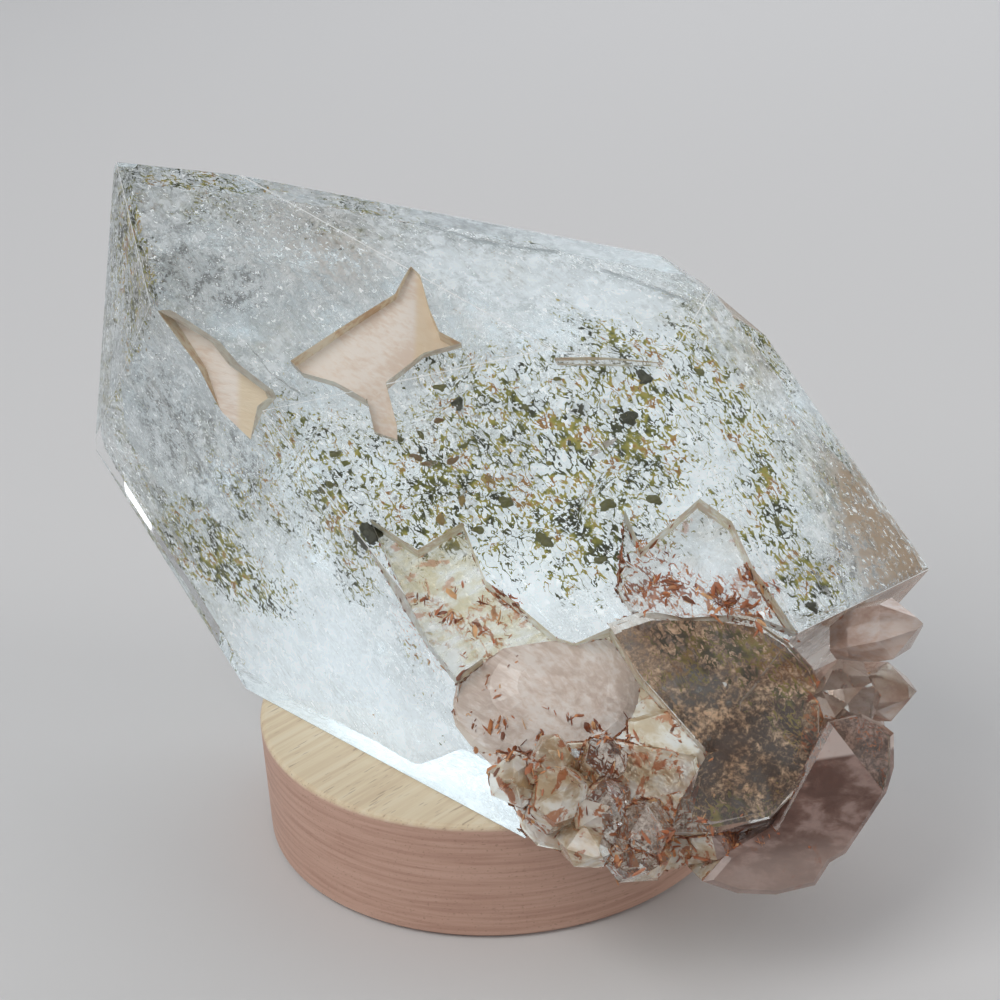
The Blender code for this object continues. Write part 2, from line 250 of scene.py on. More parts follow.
wood, tree, shader = new_material("beech", Roughness=0.5)
across_plank = object_coordinates(tree, (22.0, 620.0, 620.0), GRAIN_TURN)
round_side = object_coordinates(tree, (55.0, 55.0, 1300.0))
in_plank = object_coordinates(tree, (260.0, 2600.0, 3400.0), GRAIN_TURN)
top_grain = noise(tree, across_plank, 1.0, 5.0, 0.6, 0.2)
side_grain = noise(tree, round_side, 1.0, 5.0, 0.62, 0.3)
flecks = noise(tree, in_plank, 1.0, 2.0, 0.5)
height = node(tree, "ShaderNodeSeparateXYZ", {0: object_coordinates(tree)}).outputs["Z"]
on_top = step(tree, height, STAND_TOP - ROUNDED_RIM[0], STAND_TOP - ROUNDED_RIM[1])
tone = blend(
    tree, on_top, colour_ramp(tree, step(tree, side_grain, 0.3, 0.7), SIDE_TONES),
    colour_ramp(tree, step(tree, top_grain, 0.3, 0.7), TOP_TONES),
)
fleck_share = step(tree, flecks, 0.62, 0.70, 0.0, 0.5)
tone = blend(tree, fleck_share, tone, FLECK_COLOUR)
tree.links.new(tone, shader.inputs["Base Color"])
bump = node(tree, "ShaderNodeBump", {"Height": side_grain, "Strength": 0.08, "Distance": 0.0003})
tree.links.new(bump.outputs["Normal"], shader.inputs["Normal"])
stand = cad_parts["stand"]
stand.data.materials.clear()
stand.data.materials.append(wood)

# ---------------------------------------------------------------------------------------------
# The light window: a frosted disc let into the stand. It is lit from below and sends a cold
# white light up through the stone.
WINDOW_TONES = ((0.3, (0.62, 0.84, 1.0)), (0.7, (0.80, 0.93, 1.0)))
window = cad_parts["light_window"]
glow, tree, shader = new_material(
    "frosted_window", Base_Color=(0.9, 0.95, 1.0, 1.0), Roughness=0.5, Emission_Strength=0.85
)
cells = noise(tree, object_coordinates(tree), 60.0, 2.0, 0.5)
tree.links.new(colour_ramp(tree, cells, WINDOW_TONES), shader.inputs["Emission Color"])
window.data.materials.clear()
window.data.materials.append(glow)

# ---------------------------------------------------------------------------------------------
# The stone's skin: cut and polished facets with worn edges, growth hollows and the natural end,
# in one closed surface of clear quartz. The hollows keep their coat of pale clay, and the
# natural end is frosted and stained by iron. The strips along the worn edges are pale partly
# from wear and partly as a painted highlight.
STONE_ZERO = np.array([0.0, 0.0, 0.0213])
QUARTZ_IOR = 1.544

# Facet name: azimuth and elevation of its outward normal in degrees, distance in millimetres
FACETS = {
    "left": (-136.8, 0.0, 27.8),
    "front": (-90.0, 45.3, 43.0),
    "right": (-46.4, 48.2, 57.4),
    "front_tip": (-93.9, 57.9, 50.9),
    "top_tip": (-71.2, 67.8, 57.6),
    "left_tip": (-156.4, 14.3, 56.9),
    "back_top": (75.0, 20.0, 51.5),
    "back_left": (165.0, 6.0, 76.6),
    "left_undercut": (170.0, -40.0, 33.0),
    "back_right": (40.0, 0.0, 44.2),
    "back_undercut": (85.0, -40.0, 29.0),
    "foot": (0.0, -90.0, 0.0),
    "broken_end": (-51.6, -34.9, 29.8),
}
facet_names = list(FACETS)
facet_turn = np.radians([FACETS[name][0] for name in facet_names])
facet_rise = np.radians([FACETS[name][1] for name in facet_names])
facet_out = np.stack([
    np.cos(facet_rise) * np.cos(facet_turn), np.cos(facet_rise) * np.sin(facet_turn),
    np.sin(facet_rise),
], 1)
facet_far = np.array([FACETS[name][2] for name in facet_names]) * MM

# Hollow: middle, radius and depth in the stone's millimetres, and the way its floor faces
FRONT = (-90.0, 45.3)
HOLLOWS = {
    "ridge": ((-15.5, 4.1, 63.7), 17.0, 4.0, (-92.0, 52.0)),
    "ridge_step": ((-15.2, -6.2, 54.3), 6.5, 1.6, FRONT),
    "left": ((-41.0, 1.3, 58.9), 18.0, 4.5, (-122.2, 30.5)),
    "low": ((-4.4, -28.0, 32.8), 20.0, 4.0, FRONT),
    "red": ((30.3, -26.2, 34.5), 19.0, 4.5, FRONT),
    "ledge": ((20.8, -1.7, 58.8), 10.0, 1.2, FRONT),
}
SHELF_MIDDLE = (8.0, -32.2, 17.2)
SHELF_RADII = (15.0, 11.5, 8.2)
NATURAL_MIDDLES = {
    "block_skin": (45.8, -55.0, 8.3), "druse_skin": (14.0, -50.0, 10.0),
    "side_skin": (55.0, -33.0, 17.0),
}


def facing(azimuth, elevation):
    """The right, up-slope and outward unit vectors of a face, as three rows.

    Outward is the azimuth's level direction times the elevation's cosine, with its sine as
    height; right is level, and up-slope is outward crossed with right.
    """
    turn, rise = math.radians(azimuth), math.radians(elevation)
    level = math.cos(rise)
    out = np.array([level * math.cos(turn), level * math.sin(turn), math.sin(rise)])
    right = np.array([-math.sin(turn), math.cos(turn), 0.0])
    return np.stack([right, np.cross(out, right), out])


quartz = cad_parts["quartz"]
EDGE_WEAR = 0.32 * MM
WELD = 0.002 * MM
FLAT_ANGLE = math.radians(0.4)
WORN_LENGTH = 6.0 * MM
WORN_ANGLES = (0.12, 1.6)
WORN_AREA = 60.0 * MM * MM
INWARD_ANGLE = 0.35
bm = bmesh.new()
bm.from_mesh(quartz.data)
bmesh.ops.remove_doubles(bm, verts=bm.verts, dist=WELD)
bmesh.ops.dissolve_limit(
    bm, angle_limit=FLAT_ANGLE, verts=bm.verts, edges=bm.edges, use_dissolve_boundaries=False
)
worn = [
    edge for edge in bm.edges
    if len(edge.link_faces) == 2 and edge.calc_length() > WORN_LENGTH
    and WORN_ANGLES[0] < edge.calc_face_angle() < WORN_ANGLES[1] and edge.is_convex
    and min(face.calc_area() for face in edge.link_faces) > WORN_AREA
]
bmesh.ops.bevel(
    bm, geom=worn, offset=EDGE_WEAR, offset_type="OFFSET", segments=2, profile=0.6,
    affect="EDGES", clamp_overlap=True,
)
bmesh.ops.triangulate(bm, faces=[face for face in bm.faces if len(face.verts) > 4])
# The bevel leaves corners, edges and faces in an order that changes from run to run. They are
# put in order of place, so that the seeded draws below always meet the same ones.
bm.verts.sort(key=lambda corner: corner.co.dot(Vector((1.0, 1.7, 2.9))))
bm.verts.index_update()
many = float(len(bm.verts))
for sequence in (bm.edges, bm.faces):
    sequence.sort(key=lambda item: sum(
        index * many ** power for power, index in enumerate(sorted(v.index for v in item.verts)[:3])
    ))
    sequence.index_update()
inward_edges = np.array([
    len(edge.link_faces) == 2 and not edge.is_convex and edge.calc_face_angle() > INWARD_ANGLE
    for edge in bm.edges
])
skin_mesh = bpy.data.meshes.new("skin")
bm.to_mesh(skin_mesh)
bm.free()
skin = bpy.data.objects.new("skin", skin_mesh)
bpy.context.scene.collection.objects.link(skin)

count = len(skin_mesh.polygons)
middles = np.empty(count * 3)
skin_mesh.polygons.foreach_get("center", middles)
middles = middles.reshape(-1, 3) - STONE_ZERO
normals = np.empty(count * 3)
skin_mesh.polygons.foreach_get("normal", normals)
normals = normals.reshape(-1, 3)

# The kinds of surface on the skin, in the order of its materials, and those of each hollow
KINDS = (
    "polished", "clay_floor", "ochre_wall", "golden_floor", "golden_wall", "pale_floor",
    "shelf_skin", "cap_skin", "block_skin", "druse_skin", "side_skin", "broken_skin",
    "left_clay_floor", "edge_sheen_and_wear",
)
HOLLOW_KINDS = {
    "ridge": ("clay_floor", "ochre_wall"), "ridge_step": ("clay_floor", "ochre_wall"),
    "left": ("left_clay_floor", "ochre_wall"), "low": ("golden_floor", "golden_wall"),
    "red": ("pale_floor", "golden_wall"), "ledge": ("pale_floor", "ochre_wall"),
}
FACET_SLACK, FACET_COSINE = 0.25 * MM, 0.90
FLOOR_SLACK, FLOOR_COSINE = 0.3, 0.98
SHELF_SLACK, SHELF_COSINE = 0.09, 0.80
ABOVE_FRONT = 0.4 * MM
CAP_CORNER = (14.0 * MM, -25.0 * MM)
EDGE_STRIP, EDGE_COSINE = 0.45 * MM, 0.9990
off_plane = np.abs(middles @ facet_out.T - facet_far)
on_facet = ((off_plane < FACET_SLACK) & (normals @ facet_out.T > FACET_COSINE)).any(1)
front_axes = facing(*FRONT)
rise = middles @ front_axes[2] - facet_far[facet_names.index("front")]
natural_apart = np.stack([
    np.linalg.norm(middles - np.array(middle) * MM, axis=1) for middle in NATURAL_MIDDLES.values()
])
kind = np.array([KINDS.index(name) for name in NATURAL_MIDDLES])[natural_apart.argmin(0)]
for name, (middle, radius, depth, face) in HOLLOWS.items():
    offset = middles - np.array(middle) * MM
    inside = np.linalg.norm(offset, axis=1) < radius * MM
    inside &= (rise < ABOVE_FRONT) & (offset @ facing(*face)[2] > -(depth + FLOOR_SLACK) * MM)
    flat = normals @ facing(*face)[2] > FLOOR_COSINE
    floor_kind, wall_kind = (KINDS.index(surface) for surface in HOLLOW_KINDS[name])
    kind = np.where(inside & flat, floor_kind, np.where(inside, wall_kind, kind))
lump = (middles - np.array(SHELF_MIDDLE) * MM) @ front_axes.T / (np.array(SHELF_RADII) * MM)
bulge = (lump / np.array(SHELF_RADII)) @ front_axes
bulge /= np.linalg.norm(bulge, axis=1, keepdims=True)
on_shelf = np.abs(np.linalg.norm(lump, axis=1) - 1.0) < SHELF_SLACK
on_shelf &= (normals * bulge).sum(1) > SHELF_COSINE
on_cap = (rise > ABOVE_FRONT) & (middles[:, 0] > CAP_CORNER[0]) & (middles[:, 1] < CAP_CORNER[1])
on_facet &= ~on_shelf
on_break = on_facet & (off_plane.argmin(1) == facet_names.index("broken_end"))
# Strips along the facet edges: worn, and painted pale as a highlight
near_edge = on_facet & (np.sort(off_plane, axis=1)[:, 1] < EDGE_STRIP)
near_edge &= (normals @ facet_out.T).max(1) < EDGE_COSINE
for name, chosen in (
    ("shelf_skin", on_shelf), ("cap_skin", on_cap), ("polished", on_facet),
    ("broken_skin", on_break), ("edge_sheen_and_wear", near_edge),
):
    kind = np.where(chosen, KINDS.index(name), kind)


def coat(name, tones, stripe_scale, stripe_turn, transmission, roughness, stain=None, bands=()):
    """A thin pale coat on clear quartz: growth stripes in a few tones, with stains over them.

    Stripes plus clouds, both noises, choose the tone. A band adds its colour where the height
    over its middle, along its upward way, steps from low to high; a stain where noise does.
    """
    made, tree, shader = new_material(
        name, Roughness=roughness, IOR=QUARTZ_IOR, Transmission_Weight=transmission
    )
    stripes = noise(tree, object_coordinates(tree, stripe_scale, stripe_turn), 1.0, 4.0, 0.6, 0.3)
    cloud = noise(tree, object_coordinates(tree), 110.0, 4.0, 0.6)
    mixed = sum_of(tree, stripes, cloud)
    tone = colour_ramp(tree, step(tree, mixed, 0.80, 1.20), tones)
    for middle, upward, low, high, most, colour in bands:
        level = node(tree, "ShaderNodeVectorMath", {
            0: object_coordinates(tree), 1: tuple(upward),
        }, operation="DOT_PRODUCT").outputs["Value"]
        level = sum_of(tree, level, float(np.dot(middle, upward)), "SUBTRACT")
        tone = blend(tree, step(tree, level, low, high, 0.0, most), tone, colour)
    if stain:
        colour, scale, low, high, most = stain
        patches = noise(tree, object_coordinates(tree), scale, 6.0, 0.65, 0.5)
        tone = blend(tree, step(tree, patches, low, high, 0.0, most), tone, colour)
    tree.links.new(tone, shader.inputs["Base Color"])
    bump = node(tree, "ShaderNodeBump", {"Height": mixed, "Strength": 0.25, "Distance": 0.0004})
    tree.links.new(bump.outputs["Normal"], shader.inputs["Normal"])
    return made


polished = new_material(
    "polished_quartz", Base_Color=(0.985, 0.992, 0.995, 1.0), Roughness=0.012, IOR=QUARTZ_IOR,
    Transmission_Weight=1.0,
)[0]
RUST = (0.50, 0.16, 0.055)
CLAY = ((0.0, (0.80, 0.66, 0.55)), (0.5, (0.86, 0.75, 0.65)), (1.0, (0.91, 0.83, 0.75)))
OCHRE = ((0.0, (0.56, 0.34, 0.17)), (0.5, (0.74, 0.58, 0.38)), (1.0, (0.84, 0.74, 0.56)))
GOLD = ((0.0, (0.68, 0.56, 0.32)), (0.45, (0.84, 0.78, 0.62)), (1.0, (0.93, 0.92, 0.87)))
PALE = ((0.0, (0.76, 0.72, 0.67)), (0.5, (0.87, 0.86, 0.84)), (1.0, (0.94, 0.95, 0.95)))
SHELF = ((0.0, (0.55, 0.39, 0.30)), (0.5, (0.69, 0.52, 0.42)), (1.0, (0.80, 0.66, 0.57)))
SMOKY = ((0.0, (0.60, 0.45, 0.35)), (0.5, (0.76, 0.64, 0.54)), (1.0, (0.88, 0.80, 0.73)))
ROSE = ((0.0, (0.17, 0.090, 0.070)), (0.5, (0.27, 0.165, 0.135)), (1.0, (0.48, 0.34, 0.30)))
PINK = ((0.0, (0.58, 0.38, 0.30)), (0.5, (0.78, 0.61, 0.53)), (1.0, (0.92, 0.83, 0.78)))
STAIN = ((0.0, (0.34, 0.20, 0.14)), (0.5, (0.58, 0.40, 0.31)), (1.0, (0.74, 0.60, 0.51)))
CREAM = ((0.0, (0.62, 0.45, 0.26)), (0.45, (0.88, 0.77, 0.60)), (1.0, (0.96, 0.93, 0.86)))
# Tones of the edge strips: partly wear, partly a painted highlight along the edges
EDGE_SHEEN_AND_WEAR_TONES = ((0.0, (0.86, 0.89, 0.90)), (0.5, (0.93, 0.95, 0.955)), (1.0, (0.97, 0.98, 0.98)))
BLOCK_PLACE = np.array([45.8, -52.8, 29.6]) * MM
block_upward = facing(-82.0, 22.0)[1]
ridge_place = STONE_ZERO + np.array(HOLLOWS["ridge"][0]) * MM
left_place = STONE_ZERO + np.array(HOLLOWS["left"][0]) * MM
# Coat: name, tones, stripe scale and turn, transmission, roughness; its stain is colour, scale,
# low, high, most; each of its bands is middle, upward, low, high, most, colour
skin_materials = [
    polished,
    coat(
        "clay_floor", CLAY, (300.0, 1500.0, 1500.0), 0.7, 0.12, 0.35,
        (OCHRE[1][1], 160.0, 0.60, 0.72, 0.5),
        [(ridge_place, picture_right, 5.6 * MM, 6.8 * MM, 0.75, (0.82, 0.66, 0.45))],
    ),
    coat("ochre_wall", OCHRE, (90.0, 900.0, 900.0), 0.5, 0.25, 0.35),
    coat(
        "golden_floor", GOLD, (90.0, 700.0, 700.0), -0.6, 0.72, 0.2,
        (RUST, 260.0, 0.56, 0.62, 0.8),
    ),
    coat(
        "golden_wall", GOLD, (120.0, 900.0, 900.0), -0.6, 0.35, 0.3,
        (OCHRE[0][1], 220.0, 0.5, 0.6, 0.8),
    ),
    coat(
        "pale_floor", PALE, (90.0, 700.0, 700.0), -0.6, 0.80, 0.16,
        (RUST, 260.0, 0.60, 0.66, 0.7),
    ),
    coat(
        "shelf_skin", SHELF, (130.0, 900.0, 900.0), 0.9, 0.50, 0.16,
        (RUST, 150.0, 0.66, 0.76, 0.5),
    ),
    coat("cap_skin", SMOKY, (90.0, 260.0, 260.0), 0.8, 0.93, 0.05),
    coat(
        "block_skin", ROSE, (120.0, 420.0, 420.0), 0.3, 0.42, 0.14,
        (RUST, 170.0, 0.62, 0.72, 0.4),
        [(BLOCK_PLACE, block_upward, 6.6 * MM, 7.2 * MM, 0.85, (0.95, 0.80, 0.74)),
         (BLOCK_PLACE, block_upward, -2.5 * MM, -8.5 * MM, 0.6, (0.66, 0.52, 0.46))],
    ),
    coat(
        "druse_skin", CREAM, (150.0, 400.0, 400.0), 0.9, 0.5, 0.14,
        (RUST, 330.0, 0.55, 0.60, 0.95),
    ),
    coat(
        "side_skin", PINK, (140.0, 400.0, 400.0), 0.2, 0.62, 0.13,
        (RUST, 190.0, 0.62, 0.72, 0.4),
    ),
    coat(
        "broken_skin", STAIN, (120.0, 300.0, 300.0), 0.4, 0.45, 0.2,
        (RUST, 120.0, 0.56, 0.70, 0.6),
    ),
    coat(
        "left_clay_floor", CLAY, (300.0, 1500.0, 1500.0), 0.7, 0.12, 0.35,
        (OCHRE[1][1], 160.0, 0.60, 0.72, 0.5),
        [(left_place, picture_right, 2.6 * MM, 4.0 * MM, 0.75, (0.80, 0.66, 0.44))],
    ),
    # The edge strips: pale partly from wear and partly as a painted highlight along the edges
    coat("edge_sheen_and_wear", EDGE_SHEEN_AND_WEAR_TONES, (500.0, 900.0, 900.0), 0.6, 0.28, 0.28),
]
skin_mesh.materials.clear()
for item in skin_materials:
    skin_mesh.materials.append(item)
skin_mesh.polygons.foreach_set("material_index", kind.astype(np.int32))
skin_mesh.update()
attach(skin, "root")
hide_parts("quartz")

# ---------------------------------------------------------------------------------------------
# The veils in the stone: healed growth layers that lie under the facets. They are milky, and the
# cold light from below is painted on them as a faint glow, strongest near the light window.
HEART = np.array([-2.0, 6.0, 34.0]) * MM
STONE_AXIS = np.array([-0.56, 0.59, 0.58])


def sight(x, y):
    """Unit rays from the camera through picture places in thousandths of the picture's width.

    Each is forward plus the place's offset from the middle, times sensor width over lens.
    """
    across = (np.asarray(x, dtype=float) - PICTURE / 2.0) / PICTURE * SENSOR / LENS
    down = (np.asarray(y, dtype=float) - PICTURE / 2.0) / PICTURE * SENSOR / LENS
    ray = forward + across[..., None] * picture_right - down[..., None] * picture_up
    return ray / np.linalg.norm(ray, axis=-1, keepdims=True)


def look_in(x, y, facet, depth):
    """Places a depth in metres under a facet that are seen through it at picture places.

    The ray meets the facet and is bent there by Snell's law: its level part is divided by the
    quartz's index. Then it goes on down to the depth.
    """
    index = facet_names.index(facet)
    out = facet_out[index]
    ray = sight(x, y)
    start = EYE - STONE_ZERO
    reach = (facet_far[index] - start @ out) / (ray @ out)
    meet = start + reach[..., None] * ray
    lean = -(ray @ out)
    ratio = 1.0 / QUARTZ_IOR
    bend = np.sqrt(1.0 - ratio ** 2 * (1.0 - lean ** 2))
    bent = ratio * ray + (ratio * lean - bend)[..., None] * out
    return meet + (depth / bend)[..., None] * bent


def ripple(places, wavelength, seed, waves=28):
    """Smooth noise of about unit size: sines of near one wavelength, running all ways, summed."""
    chance = np.random.default_rng(seed)
    ways = chance.normal(size=(waves, 3))
    ways /= np.linalg.norm(ways, axis=1, keepdims=True)
    lengths = wavelength * chance.uniform(0.6, 1.7, waves)
    starts = chance.uniform(0.0, 2.0 * math.pi, waves)
    turns = places @ (ways * (2.0 * math.pi / lengths)[:, None]).T + starts
    return np.sin(turns).sum(1) / math.sqrt(0.5 * waves)


def ball_grid(rows, columns):
    """Unit directions over a ball, with poles on its long axis, and the faces between them.

    Each is axis times cosine of rise, plus the two level ways times sine of rise, which share it
    by cosine and sine of turn.
    """
    rise = np.linspace(0.0, math.pi, rows + 1)[1:-1]
    turn = np.linspace(0.0, 2.0 * math.pi, columns, endpoint=False)
    rise, turn = np.meshgrid(rise, turn, indexing="ij")
    axis = np.array([0.55, -0.60, -0.58])
    axis /= np.linalg.norm(axis)
    side = np.cross(axis, [0.0, 0.0, 1.0])
    side /= np.linalg.norm(side)
    third = np.cross(axis, side)
    ways = (
        np.cos(rise)[..., None] * axis + (np.sin(rise) * np.cos(turn))[..., None] * side
        + (np.sin(rise) * np.sin(turn))[..., None] * third
    ).reshape(-1, 3)
    ways = np.vstack([ways, axis, -axis])
    number = np.arange((rows - 1) * columns).reshape(rows - 1, columns)
    following = np.roll(number, -1, axis=1)
    quads = np.stack([number[:-1], number[1:], following[1:], following[:-1]], 2).reshape(-1, 4)
    first, last = len(ways) - 2, len(ways) - 1
    caps = np.vstack([
        np.stack([np.full(columns, first), number[0], following[0]], 1),
        np.stack([np.full(columns, last), following[-1], number[-1]], 1),
    ])
    triangles = np.vstack([quads[:, [0, 1, 2]], quads[:, [0, 2, 3]], caps])
    return ways, triangles


# The broken end lies deeper than the facets: middle, radius and depth of what was lost there
BREAK = ((12.0, -42.0, 20.0), 31.0, 6.5)


def veil_places(ways, depth):
    """Places of a veil: along each way from the heart, the nearest facet's plane less the depth.

    Under a hollow and over the broken end the veil sinks to the dip's depth and a little more,
    fading out past the dip's radius, so that it stays inside the stone. The number of the facet
    over each place comes with it.
    """
    dips = [(*HOLLOWS[name][:3], 1.2) for name in HOLLOWS if name != "ledge"] + [(*BREAK, 1.0)]
    toward = ways @ facet_out.T
    room = facet_far - facet_out @ HEART

    def reach_at(sunk):
        return np.where(toward > 1e-6, (room - sunk[:, None]) / np.maximum(toward, 1e-6), 1.0)

    sunk = np.broadcast_to(depth, len(ways)).astype(float)
    outer = HEART + reach_at(sunk).min(1)[:, None] * ways
    deeper = sunk.copy()
    for middle, radius, dip, spare in dips:
        apart = np.linalg.norm(outer - np.array(middle) * MM, axis=1) / (radius * MM)
        deeper = np.maximum(deeper, (dip + spare) * MM * np.clip(2.75 - 2.2 * apart, 0.0, 1.0))
    reach = reach_at(deeper)
    return HEART + reach.min(1)[:, None] * ways, reach.argmin(1)


def field(places, blobs):
    """A field over places: the sum of soft blobs laid under the facets where they are seen.

    A blob is its weight times e to the minus 0.9 r², less its height off the facet over 9 mm
    squared, with r the distance from its middle in its own radii.
    """
    total = np.zeros(len(places))
    for facet, x, y, wide, tall, turn, weight in blobs:
        cosine, sine = math.cos(math.radians(turn)), math.sin(math.radians(turn))
        trio = look_in(
            np.array([x, x + wide * cosine, x - tall * sine]),
            np.array([y, y + wide * sine, y + tall * cosine]), facet, 3.0 * MM,
        )
        first, second = trio[1] - trio[0], trio[2] - trio[0]
        out = facet_out[facet_names.index(facet)]
        offset = places - trio[0]
        gram = np.array([[first @ first, first @ second], [first @ second, second @ second]])
        flat = np.linalg.solve(gram, np.stack([offset @ first, offset @ second]))
        total += weight * np.exp(
            -0.9 * (flat ** 2).sum(0) - (offset @ out / (9.0 * MM)) ** 2
        )
    return total


# Blobs of a field: facet, place in the picture, two radii and a turn there, weight
MILK = [
    ("left", 310, 690, 130, 60, 33, 1.0), ("left", 220, 620, 60, 50, 60, 0.8),
    ("left", 400, 750, 70, 40, 35, 0.9), ("left", 300, 600, 70, 40, 40, 0.6),
    ("front", 460, 620, 80, 50, 0, 0.9), ("front", 520, 560, 120, 60, 0, 0.8),
    ("front", 600, 420, 90, 60, 0, 0.7), ("front", 450, 380, 60, 30, 0, 0.6),
    ("top_tip", 520, 275, 110, 26, 12, 0.9), ("top_tip", 640, 320, 60, 30, 30, 0.9),
    ("right", 715, 430, 50, 80, -20, 0.9), ("right", 770, 520, 40, 60, -20, 0.5),
    ("front_tip", 350, 280, 80, 50, 0, 0.30), ("front_tip", 240, 385, 60, 34, 45, 0.7),
    ("front_tip", 150, 200, 50, 30, 0, 0.6), ("top_tip", 330, 205, 70, 20, 12, 0.5),
]
MOSS = [
    ("front", 465, 400, 60, 32, 0, 0.50), ("front", 455, 452, 48, 14, 10, 0.85),
    ("front", 560, 445, 100, 60, 0, 0.62), ("front", 480, 505, 62, 30, 0, 0.85),
    ("front", 570, 525, 80, 38, 0, 0.70), ("front", 645, 430, 50, 65, 0, 0.62),
    ("front", 600, 366, 70, 20, 8, 0.36), ("front", 440, 500, 22, 44, 0, 0.5),
    ("front", 605, 560, 50, 25, 0, 0.45), ("front", 425, 660, 22, 45, 10, 0.45),
    ("front", 432, 715, 30, 14, 10, 0.9), ("front", 470, 735, 26, 14, 20, 1.0),
    ("left", 182, 540, 26, 20, 50, 0.95), ("left", 222, 566, 44, 22, 25, 0.95),
    ("left", 268, 594, 30, 14, 30, 0.85), ("left", 205, 518, 34, 10, 40, 0.6),
    ("left", 300, 470, 70, 32, 45, 0.48), ("left", 335, 515, 30, 26, 0, 0.5),
    ("left", 250, 500, 60, 14, 45, 0.5), ("left", 358, 565, 14, 30, 0, 0.6),
    ("right", 716, 378, 16, 14, 0, 0.65), ("right", 735, 418, 15, 32, -25, 0.62),
    ("right", 758, 470, 16, 42, -25, 0.70), ("right", 780, 530, 17, 42, -25, 0.62),
    ("right", 798, 585, 15, 26, -20, 0.6), ("right", 825, 590, 15, 24, -20, 0.8),
    ("right", 778, 440, 12, 40, -30, 0.45),
    ("top_tip", 612, 336, 44, 14, 20, 0.40), ("top_tip", 640, 352, 32, 12, 25, 0.6),
    ("top_tip", 690, 330, 22, 20, 0, 0.4),
    ("front_tip", 430, 360, 40, 14, 20, 0.35),
]
IRON = [
    ("front", 445, 608, 26, 12, 20, 0.8), ("front", 492, 603, 24, 12, 10, 1.0),
    ("front", 488, 650, 14, 22, 0, 0.9), ("front", 470, 630, 30, 30, 0, 0.4),
    ("front", 650, 560, 26, 18, 10, 1.0), ("front", 690, 590, 60, 16, 8, 1.1),
    ("front", 745, 590, 24, 24, 0, 0.9), ("front", 640, 535, 12, 18, 0, 0.5),
]
SMOKE = [
    ("front_tip", 228, 282, 46, 30, 12, 1.5), ("front_tip", 175, 255, 24, 44, 10, 0.8),
    ("front_tip", 320, 290, 36, 22, 0, 0.6), ("left", 165, 420, 34, 60, -10, 0.9),
    ("left", 230, 460, 50, 22, 45, 0.9), ("front", 350, 440, 24, 34, 30, 0.5),
    ("front", 500, 440, 40, 40, 0, 0.35), ("left", 215, 480, 60, 50, 50, 0.9),
    ("left", 140, 360, 24, 60, 0, 0.45), ("right", 830, 470, 22, 56, -30, 0.8),
    ("right", 845, 560, 30, 50, -25, 1.1), ("right", 900, 600, 30, 50, -25, 0.7),
    ("top_tip", 330, 212, 60, 14, 12, 0.5), ("top_tip", 690, 290, 40, 16, 30, 0.4),
]
TAN = [
    ("front_tip", 290, 236, 56, 36, 10, 0.55), ("front_tip", 345, 260, 36, 26, 0, 0.5),
    ("top_tip", 385, 202, 50, 12, 12, 0.35), ("front_tip", 140, 280, 14, 40, 0, 0.6),
    ("right", 900, 565, 40, 70, -25, 2.0), ("right", 868, 505, 28, 60, -25, 1.6),
    ("right", 760, 360, 20, 30, -30, 0.5),
]
BACK_FACETS = (
    "back_top", "back_left", "left_undercut", "back_right", "back_undercut", "left_tip",
)
# How strongly each facet's veil shines in the painted glow, and how milky it is, so that one
# growth face looks lit unlike the next
FACET_SHINE = {
    "left": 0.72, "front": 0.96, "right": 0.92, "front_tip": 0.68, "top_tip": 0.84,
    "left_tip": 0.52, "back_top": 0.85, "back_left": 0.70, "left_undercut": 0.75,
    "back_right": 0.80, "back_undercut": 0.85, "foot": 1.0, "broken_end": 0.6,
}

VEIL_ROWS, VEIL_COLUMNS = 190, 330
VEIL_DEPTH, VEIL_SWELL = 2.3 * MM, 0.22
# At its right end the veil rises toward the facet: place in the picture, rise and reach
RIGHT_END = (890.0, 560.0)
END_RISE, END_REACH = 1.6 * MM, 20.0 * MM
LIT_REACH = 48.0 * MM
TIP_START, TIP_LENGTH = 40.0 * MM, 60.0 * MM
BACK_START, BACK_LENGTH = 4.0 * MM, 14.0 * MM
ways, faces = ball_grid(VEIL_ROWS, VEIL_COLUMNS)
near_depth = VEIL_DEPTH + ripple(ways, 0.35, 11) * VEIL_SWELL * MM
right_end = look_in(np.array(RIGHT_END[0]), np.array(RIGHT_END[1]), "right", 1.0 * MM)
apart = np.linalg.norm(veil_places(ways, near_depth)[0] - right_end, axis=1)
near_depth = near_depth - END_RISE * np.exp(-(apart / END_REACH) ** 2)
near_places, near_facet = veil_places(ways, near_depth)
shine_share = np.array([FACET_SHINE[name] for name in facet_names])[near_facet]
lit = np.exp(-np.linalg.norm(near_places, axis=1) / LIT_REACH)
towards_tip = np.clip((near_places @ STONE_AXIS - TIP_START) / TIP_LENGTH, 0.0, 1.0)
# Milkiness, partly the veil's own and partly painted light that grows near the window, per facet
milk_and_glow = 0.28 + 0.5 * lit + field(near_places, MILK) + 0.10 * ripple(near_places, 14.0 * MM, 3)
milk_and_glow = milk_and_glow * (0.25 + 0.75 * shine_share)
moss = 1.25 * field(near_places, MOSS)
iron = field(near_places, IRON)
tan = field(near_places, TAN)
smoke = field(near_places, SMOKE) + 0.08 * ripple(near_places, 18.0 * MM, 5)
hidden = [facet_names.index(name) for name in BACK_FACETS]
behind = np.clip((near_places[:, 1] + BACK_START) / BACK_LENGTH, 0.0, 1.0)
behind = np.isin(near_facet, hidden) * behind
moss += behind * np.clip(0.5 * ripple(near_places, 30.0 * MM, 8) + 0.2, 0.0, 0.9)
smoke += behind * np.clip(0.4 * ripple(near_places, 34.0 * MM, 18) - 0.1, 0.0, 0.6)
milk_and_glow += behind * 0.25


